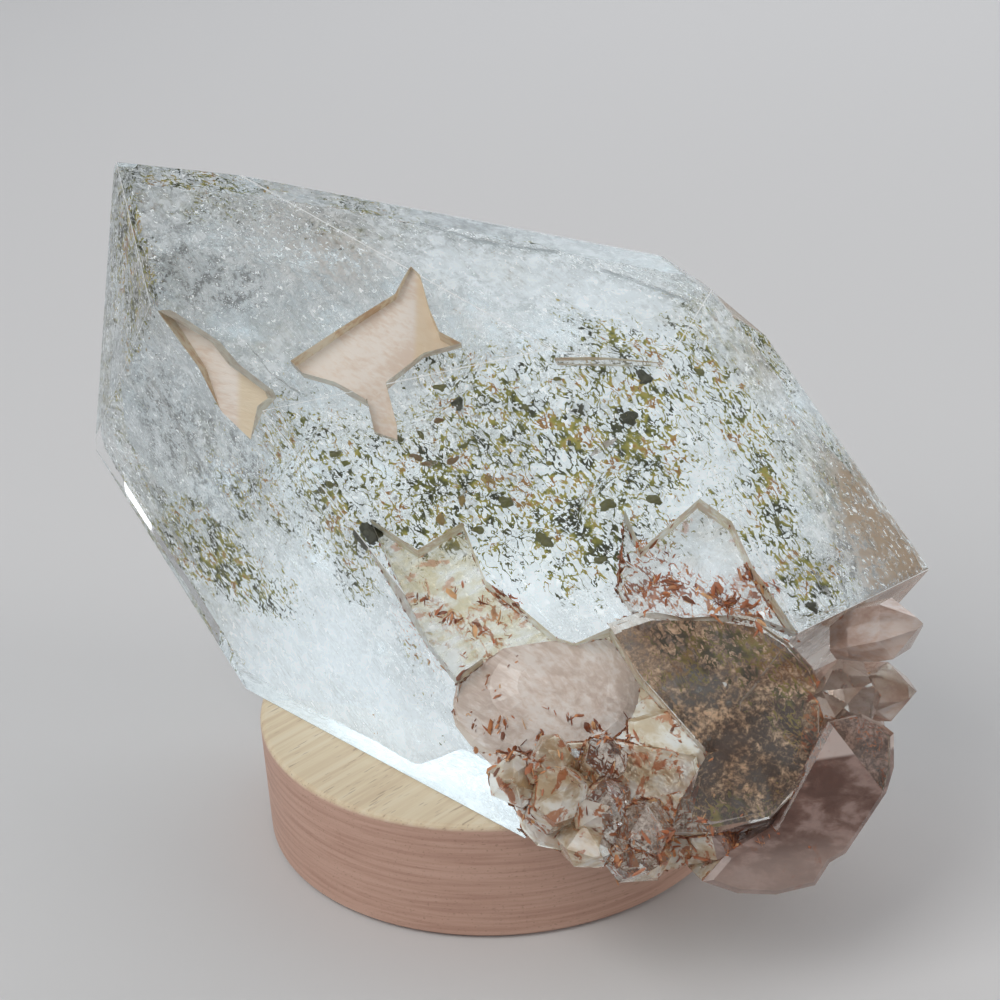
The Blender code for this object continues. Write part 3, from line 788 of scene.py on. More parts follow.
def add_field(item, name, values):
    """Store a field on an object's vertices, kept between nought and one."""
    layer = item.data.attributes.new(name, "FLOAT", "POINT")
    layer.data.foreach_set("value", np.clip(values, 0.0, 1.0).astype(np.float32))


def read_field(tree, name):
    """A field as a shader value."""
    return node(tree, "ShaderNodeAttribute", attribute_name=name).outputs["Fac"]


near_veil = mesh_object("near_veil", near_places + STONE_ZERO, faces, smooth=True)
add_field(near_veil, "milk_and_glow", milk_and_glow)
add_field(near_veil, "moss", np.sqrt(np.clip(moss, 0.0, 1.0)))
add_field(near_veil, "iron", np.sqrt(np.clip(iron, 0.0, 1.0)))
add_field(near_veil, "tan", tan)
add_field(near_veil, "smoke", smoke)
# The painted glow of the veil: strongest near the light window, scaled for each facet, fainter
# toward the tip
add_field(near_veil, "lit", (0.42 + 0.72 * lit) * shine_share * (1.0 - 0.22 * towards_tip))

MOSS_TONES = (
    (0.0, (0.050, 0.055, 0.030)), (0.28, (0.13, 0.14, 0.040)), (0.52, (0.26, 0.26, 0.055)),
    (0.76, (0.44, 0.40, 0.095)), (0.90, (0.50, 0.38, 0.11)), (1.0, (0.40, 0.21, 0.07)),
)
RUST_TONES = ((0.0, (0.28, 0.07, 0.025)), (0.5, (0.58, 0.17, 0.055)), (1.0, (0.76, 0.36, 0.16)))
MILK_TONES = ((0.0, (0.42, 0.43, 0.425)), (0.5, (0.70, 0.725, 0.73)), (1.0, (0.92, 0.94, 0.95)))
NO_LIGHT = (0.0, 0.0, 0.0)
AXIS_TURN = (math.radians(-133.5), math.radians(35.5))


def along_stone(tree, scale):
    """Object coordinates turned round Z and then Y, so X runs along the stone, and scaled."""
    turned = object_coordinates(tree, (1.0, 1.0, 1.0), AXIS_TURN[0])
    laid = node(tree, "ShaderNodeMapping", {
        "Vector": turned, "Rotation": (0.0, AXIS_TURN[1], 0.0),
    }).outputs["Vector"]
    return node(tree, "ShaderNodeMapping", {"Vector": laid, "Scale": scale}).outputs["Vector"]


def speckles(tree, spot, low=0.885, high=0.915):
    """Share and colour of the specks of chlorite and rust, and their grit.

    The share steps up from low to high with half the grit, half the clumps, 0.26 of the strands
    and 0.34 of the stronger field; strands lie where a noise is near its middle.
    """
    laid = along_stone(tree, (0.62, 1.1, 1.1))
    grit = noise(tree, laid, 1500.0, 2.0, 0.7, 0.6)
    clump = noise(tree, laid, 190.0, 3.0, 0.6, 0.4)
    off_strand = sum_of(tree, noise(tree, laid, 700.0, 2.0, 0.6, 0.5), 0.5, "SUBTRACT")
    strand = step(tree, sum_of(tree, off_strand, 0.0, "ABSOLUTE"), 0.07, 0.0)
    mixed = sum_of(tree, grit, 0.50, "MULTIPLY")
    mixed = sum_of(tree, clump, 0.50, "MULTIPLY_ADD", mixed)
    mixed = sum_of(tree, strand, 0.26, "MULTIPLY_ADD", mixed)
    green, red = read_field(tree, "moss"), read_field(tree, "iron")
    value = sum_of(tree, sum_of(tree, green, red, "MAXIMUM"), 0.34, "MULTIPLY_ADD", mixed)
    tone_noise = step(tree, noise(tree, spot, 260.0, 2.0, 0.7), 0.34, 0.66)
    tone = blend(
        tree, step(tree, sum_of(tree, red, green, "SUBTRACT"), -0.1, 0.1),
        colour_ramp(tree, tone_noise, MOSS_TONES), colour_ramp(tree, tone_noise, RUST_TONES),
    )
    return step(tree, value, low, high), tone, grit


# The veil's emission is painted light: the window's glow scattered in it, and glints on white
# flecks
veil_material, tree, shader = new_material("near_veil", Roughness=0.6, Emission_Strength=1.0)
spot = object_coordinates(tree)
curds = noise(tree, spot, 390.0, 4.0, 0.72, 0.5)
streaks = noise(tree, along_stone(tree, (80.0, 1100.0, 1100.0)), 1.0, 3.0, 0.6, 0.4)
haze = sum_of(tree, curds, 0.50, "MULTIPLY")
haze = sum_of(tree, streaks, 0.50, "MULTIPLY_ADD", haze)
haze = sum_of(tree, read_field(tree, "milk_and_glow"), 0.30, "MULTIPLY_ADD", haze)
haze_share = step(tree, haze, 0.44, 0.80, 0.0, 0.85)
speck_share, speck_tone, grit = speckles(tree, spot)
# White flecks with a painted glint: white base colour, and painted emission further down
glinting_flecks = step(tree, grit, 0.385, 0.345, 0.0, 0.9)
even = step(tree, read_field(tree, "milk_and_glow"), 0.70, 1.0, 0.0, 0.55)
white = colour_ramp(tree, sum_of(tree, step(tree, curds, 0.35, 0.66), even, "MAXIMUM"), MILK_TONES)
patchy = sum_of(tree, curds, grit)
smoke_share = step(tree, patchy, 1.10, 0.86)
smoke_share = sum_of(tree, read_field(tree, "smoke"), smoke_share, "MULTIPLY")
tan_share = sum_of(tree, read_field(tree, "tan"), step(tree, patchy, 0.74, 1.06), "MULTIPLY")
base = blend(tree, smoke_share, white, (0.17, 0.17, 0.165))
base = blend(tree, tan_share, base, (0.47, 0.34, 0.23))
base = blend(tree, glinting_flecks, base, (0.95, 0.97, 0.98))
base = blend(tree, speck_share, base, speck_tone)
tree.links.new(base, shader.inputs["Base Color"])
dark_share = sum_of(tree, smoke_share, 0.7, "MULTIPLY")
dark_share = sum_of(tree, dark_share, sum_of(tree, tan_share, 0.85, "MULTIPLY"), "MAXIMUM")
share = sum_of(tree, haze_share, sum_of(tree, dark_share, glinting_flecks, "MAXIMUM"), "MAXIMUM")
share = sum_of(tree, share, speck_share, "MAXIMUM")
tree.links.new(share, shader.inputs["Alpha"])
# Painted glow of the veil: brighter where the haze is thick, dim under smoke, tan and specks, and
# scaled by the lit field; the white flecks get a painted glint.
pattern = sum_of(tree, step(tree, haze, 0.52, 0.86), even, "MAXIMUM")
shine = blend(tree, pattern, (0.345, 0.355, 0.35), (0.58, 0.665, 0.715))
shine = blend(tree, glinting_flecks, shine, (0.80, 0.88, 0.92))
shine = blend(tree, smoke_share, shine, (0.05, 0.05, 0.048))
shine = blend(tree, tan_share, shine, (0.19, 0.15, 0.105))
shine = blend(tree, speck_share, shine, blend(tree, 0.7, speck_tone, NO_LIGHT))
shine = blend(tree, read_field(tree, "lit"), NO_LIGHT, shine)
shine = blend(tree, glinting_flecks, shine, (0.46, 0.48, 0.485), "LIGHTEN")
tree.links.new(shine, shader.inputs["Emission Color"])
veil_material.cycles.emission_sampling = "NONE"
near_veil.data.materials.append(veil_material)
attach(near_veil, "root")

# ---------------------------------------------------------------------------------------------
# The deep haze: older growth layers nearer the middle of the stone, healed over when it grew on.
# They are thicker and softer than the near veil, and follow the same facets further down. Their
# glow is painted light, strongest near the light window and fainter toward the tip.
DEEP_ROWS, DEEP_COLUMNS = 90, 160
DEEP_DEPTH, DEEP_SWELL = 10.0 * MM, 0.9
DEEP_LIT_REACH = 55.0 * MM
DEEP_TIP_START, DEEP_TIP_LENGTH = 30.0 * MM, 60.0 * MM
CLOUD_TONES = ((0.0, (0.56, 0.58, 0.58)), (1.0, (0.88, 0.91, 0.93)))
DEEP_SHINE = (0.50, 0.57, 0.61)
deep_ways, deep_faces = ball_grid(DEEP_ROWS, DEEP_COLUMNS)
deep_depth = DEEP_DEPTH + ripple(deep_ways, 0.5, 21) * DEEP_SWELL * MM
deep_places, deep_facet = veil_places(deep_ways, deep_depth)
deep_lit = np.exp(-np.linalg.norm(deep_places, axis=1) / DEEP_LIT_REACH)
deep_share = np.array([FACET_SHINE[name] for name in facet_names])[deep_facet]
# Milkiness, partly the haze's own and partly painted light that grows near the light window
deep_milk_and_glow = 0.40 + 0.7 * deep_lit + 0.5 * field(deep_places, MILK)
deep_milk_and_glow = deep_milk_and_glow + 0.12 * ripple(deep_places, 16.0 * MM, 23)
deep_haze = mesh_object("deep_haze", deep_places + STONE_ZERO, deep_faces, smooth=True)
add_field(deep_haze, "milk_and_glow", deep_milk_and_glow)
deep_tip = np.clip((deep_places @ STONE_AXIS - DEEP_TIP_START) / DEEP_TIP_LENGTH, 0.0, 1.0)
# The painted glow: strongest near the light window, scaled for each facet, fainter toward the tip
deep_glow = (0.24 + 1.3 * deep_lit) * (0.3 + 0.7 * deep_share) * (1.0 - 0.6 * deep_tip)
add_field(deep_haze, "lit", deep_glow)
deep_material, tree, shader = new_material("deep_haze", Roughness=0.8, Emission_Strength=1.0)
spot = object_coordinates(tree)
clouds = noise(tree, spot, 90.0, 4.0, 0.6, 0.5)
cloud_tone = colour_ramp(tree, step(tree, clouds, 0.35, 0.65), CLOUD_TONES)
thick = sum_of(tree, clouds, sum_of(tree, read_field(tree, "milk_and_glow"), 0.5, "MULTIPLY"))
deep_light = blend(tree, read_field(tree, "lit"), NO_LIGHT, DEEP_SHINE)
tree.links.new(cloud_tone, shader.inputs["Base Color"])
tree.links.new(step(tree, thick, 0.50, 0.95), shader.inputs["Alpha"])
tree.links.new(deep_light, shader.inputs["Emission Color"])
deep_material.cycles.emission_sampling = "NONE"
deep_haze.data.materials.append(deep_material)
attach(deep_haze, "root")

# ---------------------------------------------------------------------------------------------
# Inside the natural end: sheets of chlorite, iron and smoke just under the cap, the end block
# and the bed of small crystals, each drawn to the outline of the mass that holds it.
# Each sheet's emission is painted light: a glow standing in for the window's light scattered in it
SHEET_RINGS, SHEET_CORNERS = 40, 240
SHEET_SHARES = (0.02, 0.94)
SHEET_SWELL = 0.3
SHEET_SMOKE = (0.034, 0.021, 0.020)
# Of each mass: its middle, the way it faces, and its outline there in millimetres
CAP_MIDDLE = (31.9, -43.2, 17.7)
CAP_OUTLINE = [
    (-14.0, 15.6), (-10.0, 8.0), (-0.7, -4.5), (-3.6, -11.0), (-5.0, -14.6), (-1.5, -15.6),
    (6.5, -14.5), (13.0, -9.0), (15.5, -4.5), (16.5, 3.0), (15.0, 7.5), (12.0, 11.5),
    (7.5, 14.9), (2.0, 16.2), (-3.0, 16.6), (-8.5, 17.0),
]
BLOCK_MIDDLE = (45.8, -52.8, 8.3)
BLOCK_FACE = (-82.0, 22.0)
BLOCK_OUTLINE = [
    (-18.0, -8.5), (-13.0, -11.0), (-7.5, -12.0), (-1.5, -11.5), (1.0, -8.5), (3.5, -7.5),
    (10.5, 0.5), (12.0, 4.0), (12.5, 9.0), (11.0, 10.5), (8.0, 12.5), (3.0, 12.0), (-2.0, 5.0),
    (-7.0, -2.0), (-14.0, -5.0),
]
DRUSE_MIDDLE = (12.8, -50.3, 10.7)
DRUSE_FACE = (-90.0, 30.0)
DRUSE_OUTLINE = [
    (-12.5, 5.0), (-10.0, -4.0), (-8.0, -6.5), (1.5, -9.0), (6.0, -11.5), (12.5, -11.0),
    (18.0, -6.0), (16.0, 5.0), (4.0, 8.0), (-6.0, 8.0),
]


def outline_sheet(middle, face, outline, height, hub, seed):
    """A sheet shrunk a little from an outline, in rings round a hub, with a gentle ripple.

    Each ring is the hub plus its share of the way out to the rim.
    """
    corners = np.array(outline + outline[:1], dtype=float)
    length = np.concatenate([[0.0], np.cumsum(np.linalg.norm(np.diff(corners, axis=0), axis=1))])
    around = np.linspace(0.0, length[-1], SHEET_CORNERS, endpoint=False)
    rim = np.stack([np.interp(around, length, corners[:, i]) for i in (0, 1)], 1)
    shrink = np.linspace(*SHEET_SHARES, SHEET_RINGS)[:, None, None]
    flat = (np.array(hub) + shrink * (rim - np.array(hub))).reshape(-1, 2)
    level = np.column_stack([flat, np.full(len(flat), height)]) * MM
    places = np.array(middle) * MM + level @ facing(*face)
    places += (ripple(places, 12.0 * MM, seed) * SHEET_SWELL * MM)[:, None] * facing(*face)[2]
    number = np.arange(SHEET_RINGS * SHEET_CORNERS).reshape(SHEET_RINGS, SHEET_CORNERS)
    following = np.roll(number, -1, axis=1)
    quads = np.stack([number[:-1], number[1:], following[1:], following[:-1]], 2).reshape(-1, 4)
    return places, quads


CAP_MOSS = [
    ("front", 690, 640, 60, 22, 0, 0.55), ("front", 648, 692, 26, 20, 0, 0.9),
    ("front", 745, 655, 60, 26, 8, 0.9), ("front", 795, 690, 20, 40, 0, 0.7),
    ("front", 730, 815, 60, 14, -8, 0.55), ("front", 655, 740, 18, 40, 0, 0.5),
]
CAP_SMOKE = [
    ("front", 765, 775, 60, 46, -20, 2.0), ("front", 696, 690, 20, 50, 10, 1.5),
    ("front", 705, 765, 44, 50, 0, 1.5), ("front", 745, 725, 44, 36, 0, 1.2),
]
CAP_IRON = [
    ("front", 790, 650, 30, 26, 0, 0.75), ("front", 700, 640, 70, 14, 5, 0.6),
    ("front", 812, 700, 12, 50, 0, 0.7), ("front", 700, 832, 70, 8, 0, 0.9),
    ("front", 640, 760, 22, 30, 0, 0.7),
]
# Sheet: name; middle, facing, outline, height, hub and seed; dark, middle and pale tone; most
# of its share; its moss and iron; its painted glow
END_SHEETS = [
    ("cap_growth", (CAP_MIDDLE, FRONT, CAP_OUTLINE, -1.6, (2.0, 6.0), 41),
     ((0.20, 0.115, 0.070), (0.50, 0.34, 0.205), (0.82, 0.70, 0.54)), 0.95, CAP_MOSS, CAP_IRON,
     (0.30, 0.215, 0.14)),
    ("block_growth", (BLOCK_MIDDLE, BLOCK_FACE, BLOCK_OUTLINE, -3.0, (1.0, -1.0), 42),
     ((0.07, 0.035, 0.03), (0.22, 0.13, 0.11), (0.60, 0.45, 0.41)), 0.86, [], [],
     (0.12, 0.085, 0.075)),
    ("druse_growth", (DRUSE_MIDDLE, DRUSE_FACE, DRUSE_OUTLINE, -3.2, (2.0, -1.0), 43),
     ((0.25, 0.13, 0.08), (0.62, 0.52, 0.44), (0.86, 0.86, 0.84)), 0.80, [], [],
     (0.42, 0.42, 0.42)),
]
for name, shape, tones, most, moss_blobs, iron_blobs, glow_tone in END_SHEETS:
    places, quads = outline_sheet(*shape)
    sheet = mesh_object(name, places + STONE_ZERO, quads, smooth=True)
    loose = 0.45 + 0.35 * ripple(places, 9.0 * MM, shape[-1] + 1)
    green = field(places, moss_blobs) if moss_blobs else 0.3 * loose
    red = field(places, iron_blobs) if iron_blobs else loose
    dark = field(places, CAP_SMOKE) if moss_blobs else 0.0 * loose
    add_field(sheet, "smoke", dark)
    add_field(sheet, "moss", np.sqrt(np.clip(green, 0.0, 1.0)))
    add_field(sheet, "iron", np.sqrt(np.clip(red, 0.0, 1.0)))
    made, tree, shader = new_material(name, Roughness=0.6, Emission_Strength=1.0)
    spot = object_coordinates(tree)
    cloud = sum_of(tree, noise(tree, spot, 240.0, 3.0, 0.6, 0.4), 0.45, "MULTIPLY")
    cloud = sum_of(tree, noise(tree, spot, 1250.0, 3.0, 0.75, 0.3), 0.55, "MULTIPLY_ADD", cloud)
    speck_share, speck_tone = speckles(tree, spot, 0.86, 0.89)[:2]
    base = colour_ramp(tree, step(tree, cloud, 0.37, 0.63), tuple(zip((0.0, 0.5, 1.0), tones)))
    smoke_share = sum_of(tree, read_field(tree, "smoke"), step(tree, cloud, 0.66, 0.42), "MULTIPLY")
    base = blend(tree, smoke_share, base, SHEET_SMOKE)
    tree.links.new(blend(tree, speck_share, base, speck_tone), shader.inputs["Base Color"])
    body = step(tree, cloud, 0.30, 0.52, 0.84 * most, most)
    tree.links.new(sum_of(tree, body, speck_share, "MAXIMUM"), shader.inputs["Alpha"])
    # Painted glow: the sheet's emission where its cloud is thick, put out under smoke and specks
    shine = blend(tree, step(tree, cloud, 0.42, 0.68), NO_LIGHT, glow_tone)
    shine = blend(tree, smoke_share, shine, NO_LIGHT)
    tree.links.new(blend(tree, speck_share, shine, NO_LIGHT), shader.inputs["Emission Color"])
    made.cycles.emission_sampling = "NONE"
    sheet.data.materials.append(made)
    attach(sheet, "root")

# ---------------------------------------------------------------------------------------------
# The garden: loose flakes of chlorite and iron oxide caught on the veils, each a thin plate
# with six corners. They lie where the moss is thick, a little way into the stone.
chance = np.random.default_rng(7)
FLAKES = 15500
FLAKE_CORNERS = 6
FLAKE_SCATTER, FLAKE_SINK = 0.35, 1.3
FLAKE_SIZES = (0.06, 0.55)
FLAKE_GREY = (0.3, 0.3, 0.25)


def plates(middles, sizes, thickness, seed, slim=(0.45, 1.0), along=None):
    """Thin plates, turned at random or laid along ways: a ring of corners and two middles each.

    A corner is the middle plus size times cosine of turn one way, and size times slimness times
    sine of turn the other way; the two middles are lifted off by size times thickness.
    """
    chance = np.random.default_rng(seed)
    many = len(middles)
    out = chance.normal(size=(many, 3))
    out /= np.linalg.norm(out, axis=1, keepdims=True)
    side = np.cross(out, chance.normal(size=(many, 3)))
    side /= np.linalg.norm(side, axis=1, keepdims=True)
    if along is not None:
        side = along / np.linalg.norm(along, axis=1, keepdims=True)
        out = np.cross(side, out)
        out /= np.linalg.norm(out, axis=1, keepdims=True)
    third = np.cross(out, side)
    turn = np.arange(FLAKE_CORNERS) * 2.0 * math.pi / FLAKE_CORNERS
    long = chance.uniform(*slim, (many, 1))
    rough = chance.uniform(0.75, 1.25, (many, FLAKE_CORNERS))
    ring = (
        middles[:, None] + (sizes[:, None] * rough * np.cos(turn))[..., None] * side[:, None]
        + (sizes[:, None] * rough * long * np.sin(turn))[..., None] * third[:, None]
    )
    lift = (sizes * thickness)[:, None] * out
    places = np.concatenate([ring, (middles + lift)[:, None], (middles - lift)[:, None]], 1)
    first = np.arange(FLAKE_CORNERS)
    second = (first + 1) % FLAKE_CORNERS
    top = np.stack([first, second, np.full(FLAKE_CORNERS, FLAKE_CORNERS)], 1)
    low = np.stack([second, first, np.full(FLAKE_CORNERS, FLAKE_CORNERS + 1)], 1)
    pattern = np.vstack([top, low])
    starts = (FLAKE_CORNERS + 2) * np.arange(many)[:, None, None]
    return places.reshape(-1, 3), (pattern[None] + starts).reshape(-1, 3)


def colour_field(item, values):
    """Store one colour for each vertex."""
    layer = item.data.color_attributes.new("tone", "FLOAT_COLOR", "POINT")
    full = np.ones((len(values), 4), dtype=np.float32)
    full[:, :3] = values
    layer.data.foreach_set("color", full.ravel())


weight = np.clip(moss, 0.0, 1.0) ** 1.2
picked = chance.choice(len(near_places), FLAKES, p=weight / weight.sum())
inward = HEART - near_places[picked]
inward /= np.linalg.norm(inward, axis=1, keepdims=True)
flake_middles = (
    near_places[picked] + chance.normal(size=(FLAKES, 3)) * FLAKE_SCATTER * MM
    + inward * chance.exponential(1.0, (FLAKES, 1)) * FLAKE_SINK * MM
)
flake_sizes = np.clip(chance.lognormal(-1.95, 0.45, FLAKES), *FLAKE_SIZES) * MM
places, triangles = plates(flake_middles, flake_sizes, 0.18, 9)
flakes = mesh_object("chlorite_flakes", places + STONE_ZERO, triangles)
FLAKE_TONES = np.array([
    (0.065, 0.070, 0.035), (0.22, 0.215, 0.055), (0.42, 0.37, 0.085), (0.32, 0.19, 0.075),
    (0.56, 0.37, 0.11),
])
mix_noise = ripple(flake_middles, 9.0 * MM, 31) + chance.normal(size=FLAKES) * 0.7
tone_index = np.digitize(mix_noise, (-0.7, 0.1, 0.9, 1.5))
colour_field(flakes, np.repeat(FLAKE_TONES[tone_index], FLAKE_CORNERS + 2, axis=0))
flake_material, tree, shader = new_material("chlorite", Roughness=0.5)
tone = node(tree, "ShaderNodeAttribute", attribute_name="tone").outputs["Color"]
grit = noise(tree, object_coordinates(tree), 900.0, 3.0, 0.6)
tone = blend(tree, step(tree, grit, 0.3, 0.7, 0.0, 0.35), tone, FLAKE_GREY)
tree.links.new(tone, shader.inputs["Base Color"])
flakes.data.materials.append(flake_material)
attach(flakes, "root")

# ---------------------------------------------------------------------------------------------
# Rust in the seams: thin red-brown blades of iron oxide that grew on the natural end and in the
# low hollows. They lie thick in the bands between the masses and along the inward edges.
SEAMS = [
    ("front", 450, 606, 34, 14, 10, 0.8), ("front", 492, 603, 24, 14, 10, 1.0),
    ("front", 488, 650, 16, 24, 0, 1.0), ("front", 650, 568, 28, 18, 10, 1.0),
    ("front", 695, 592, 62, 18, 6, 1.2), ("front", 748, 590, 26, 26, 0, 1.0),
    ("front", 515, 765, 18, 34, 0, 1.2), ("front", 560, 728, 60, 10, 5, 1.2),
    ("front", 575, 790, 60, 36, 0, 0.22), ("front", 625, 745, 30, 16, 0, 0.9),
    ("front", 645, 800, 44, 24, 0, 0.7), ("front", 700, 838, 60, 9, 0, 1.0),
    ("front", 640, 862, 44, 14, 0, 0.6), ("front", 500, 700, 10, 20, 0, 0.6),
]
BLADES = 1800
SEAM_BLADES = 5200
SEAM_SHRINK, SEAM_SCATTER = 0.62, 0.12
BLADE_SIZES = (0.14, 1.25)
BLADE_LIFT, BLADE_STRAY = 0.12, 0.22
SPOTS = 90000
# Where the end begins: how far out along the front's normal, and how far forward
END_OUT, END_FORWARD = 20.0 * MM, -18.0 * MM
skin_mesh.calc_loop_triangles()
triangle_corners = np.empty(len(skin_mesh.loop_triangles) * 3, dtype=np.int32)
skin_mesh.loop_triangles.foreach_get("vertices", triangle_corners)
triangle_face = np.empty(len(skin_mesh.loop_triangles), dtype=np.int32)
skin_mesh.loop_triangles.foreach_get("polygon_index", triangle_face)
skin_places = np.empty(len(skin_mesh.vertices) * 3)
skin_mesh.vertices.foreach_get("co", skin_places)
triangle_corners = triangle_corners.reshape(-1, 3)
turned = (triangle_corners.argmin(1)[:, None] + np.arange(3)) % 3
triangle_corners = np.take_along_axis(triangle_corners, turned, 1)
in_order = np.lexsort(triangle_corners.T)
triangle_corners, triangle_face = triangle_corners[in_order], triangle_face[in_order]
corners = skin_places.reshape(-1, 3)[triangle_corners] - STONE_ZERO
rough = kind[triangle_face] >= KINDS.index("golden_floor")
corners, triangle_face = corners[rough], triangle_face[rough]
sides = corners[:, 1] - corners[:, 0], corners[:, 2] - corners[:, 0]
area = np.linalg.norm(np.cross(*sides), axis=1)
chance = np.random.default_rng(17)
picked = chance.choice(len(area), SPOTS, p=area / area.sum())
first, second = np.sqrt(chance.uniform(size=SPOTS)), chance.uniform(size=SPOTS)
spots = (
    (1.0 - first)[:, None] * corners[picked, 0]
    + (first * (1.0 - second))[:, None] * corners[picked, 1]
    + (first * second)[:, None] * corners[picked, 2]
)
strength = field(spots, SEAMS) * np.clip(1.1 * ripple(spots, 3.2 * MM, 19) - 0.15, 0.0, 1.6) ** 2
chosen = chance.choice(len(spots), BLADES, replace=False, p=strength / strength.sum())
edge_ends = np.empty(len(skin_mesh.edges) * 2, dtype=np.int32)
skin_mesh.edges.foreach_get("vertices", edge_ends)
edge_ends = np.sort(edge_ends.reshape(-1, 2), axis=1)
ends = skin_places.reshape(-1, 3)[edge_ends] - STONE_ZERO
seam_middles = ends.mean(1)
seam_long = np.linalg.norm(ends[:, 1] - ends[:, 0], axis=1)
seam_weight = 0.05 + np.clip(field(seam_middles, SEAMS), 0.0, 1.2) ** 1.5
seam_weight = inward_edges * seam_long * seam_weight
seam_weight *= (seam_middles @ front_axes[2] > END_OUT) & (seam_middles[:, 1] < END_FORWARD)
seam = chance.choice(len(seam_long), SEAM_BLADES, p=seam_weight / seam_weight.sum())
share = chance.uniform(size=(SEAM_BLADES, 1))
seam_spots = ends[seam, 0] * share + ends[seam, 1] * (1.0 - share)
seam_spots += chance.normal(size=(SEAM_BLADES, 3)) * SEAM_SCATTER * MM
blade_sizes = np.clip(chance.lognormal(-0.80, 0.5, BLADES + SEAM_BLADES), *BLADE_SIZES) * MM
blade_sizes[BLADES:] *= SEAM_SHRINK
blade_out = normals[triangle_face[picked[chosen]]]
blade_middles = spots[chosen] + blade_out * blade_sizes[:BLADES, None] * BLADE_LIFT
blade_middles = np.vstack([blade_middles, seam_spots])
flow = 3.0 * ripple(spots[chosen], 7.0 * MM, 29)
flow_way = np.cross(blade_out, np.stack([np.sin(flow), np.cos(flow), 0.0 * flow + 0.3], 1))
blade_ways = np.vstack([flow_way, (ends[seam, 1] - ends[seam, 0]) / seam_long[seam, None]])
blade_ways += chance.normal(size=blade_ways.shape) * BLADE_STRAY
places, triangles = plates(blade_middles, blade_sizes, 0.10, 23, (0.14, 0.5), blade_ways)
blades = mesh_object("rust_blades", places + STONE_ZERO, triangles)
BLADE_TONES = np.array([
    (0.26, 0.065, 0.025), (0.52, 0.15, 0.05), (0.70, 0.27, 0.10), (0.82, 0.46, 0.22),
])
tone_index = np.digitize(chance.normal(size=BLADES + SEAM_BLADES), (-0.6, 0.4, 1.2))
colour_field(blades, np.repeat(BLADE_TONES[tone_index], FLAKE_CORNERS + 2, axis=0))
blades.data.materials.append(flake_material)
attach(blades, "root")

# ---------------------------------------------------------------------------------------------
# Single inclusions: larger rounded grains of chlorite and dark mica. The stone grew round them,
# and they lie just under its front faces.
GRAIN_TONES = {"dark": 0, "olive": 1, "brown": 3, "gold": 4}
# facet, place in the picture, long and short radius in millimetres, turn in the picture, tone;
# the first number of the place is also the seed of the grain's ripple
GRAINS = [
    ("front", 578, 410, 2.1, 1.9, 0, "dark"), ("front", 570, 448, 1.3, 0.8, 60, "dark"),
    ("front", 630, 420, 1.9, 1.4, 30, "dark"), ("front", 560, 383, 1.2, 0.7, 40, "olive"),
    ("front", 527, 408, 1.2, 0.8, 0, "olive"), ("front", 645, 378, 1.7, 1.0, 40, "dark"),
    ("front", 505, 502, 1.5, 1.1, 0, "olive"), ("front", 545, 540, 1.5, 1.0, 20, "olive"),
    ("front", 608, 505, 1.6, 1.1, 0, "olive"), ("front", 400, 438, 0.9, 0.5, 40, "olive"),
    ("front", 421, 435, 1.1, 0.4, 50, "olive"), ("front", 440, 420, 1.0, 0.5, 0, "brown"),
    ("front", 458, 405, 1.5, 1.0, 60, "dark"), ("front", 440, 388, 1.2, 0.6, 0, "olive"),
    ("front", 415, 457, 1.3, 0.6, 20, "brown"), ("front", 432, 464, 1.5, 0.7, 5, "brown"),
    ("front", 452, 460, 1.4, 0.7, -30, "brown"), ("front", 464, 446, 1.2, 0.6, -50, "olive"),
    ("front", 371, 533, 1.9, 1.6, 50, "dark"), ("left", 356, 541, 0.9, 0.5, 80, "olive"),
    ("front", 336, 455, 1.2, 0.9, 0, "olive"), ("left", 322, 490, 1.0, 0.7, 0, "olive"),
    ("right", 700, 372, 1.3, 0.8, 20, "olive"), ("right", 736, 376, 1.4, 0.8, 50, "dark"),
    ("right", 822, 585, 2.4, 1.1, 60, "dark"), ("right", 812, 606, 1.6, 0.9, 30, "dark"),
    ("right", 760, 478, 1.3, 0.6, 60, "olive"), ("right", 776, 520, 1.3, 0.6, 70, "olive"),
    ("front", 490, 480, 1.0, 0.6, 30, "gold"), ("front", 462, 500, 1.2, 0.7, 80, "gold"),
    ("front", 440, 520, 1.1, 0.6, 70, "gold"), ("front", 478, 530, 1.3, 0.7, 10, "olive"),
    ("front", 600, 560, 1.2, 0.6, 0, "olive"), ("front", 655, 500, 1.2, 0.8, 0, "olive"),
]
GRAIN_ROWS, GRAIN_STEPS = 9, 14
GRAIN_DEPTH, GRAIN_SIZE, GRAIN_ROUGH = 2.2, 0.85, 0.26
down_ball = np.linspace(0.0, math.pi, GRAIN_ROWS)
round_ball = np.linspace(0.0, 2.0 * math.pi, GRAIN_STEPS, endpoint=False)
row, column = np.meshgrid(down_ball, round_ball, indexing="ij")
ball = np.sin(row) * np.cos(column), np.sin(row) * np.sin(column), np.cos(row)
ball = np.stack(ball, 2).reshape(-1, 3)
number = np.arange(GRAIN_ROWS * GRAIN_STEPS).reshape(GRAIN_ROWS, GRAIN_STEPS)
following = np.roll(number, -1, axis=1)
ball_quads = np.stack([number[:-1], number[1:], following[1:], following[:-1]], 2).reshape(-1, 4)
grain_places, grain_tones = [], []
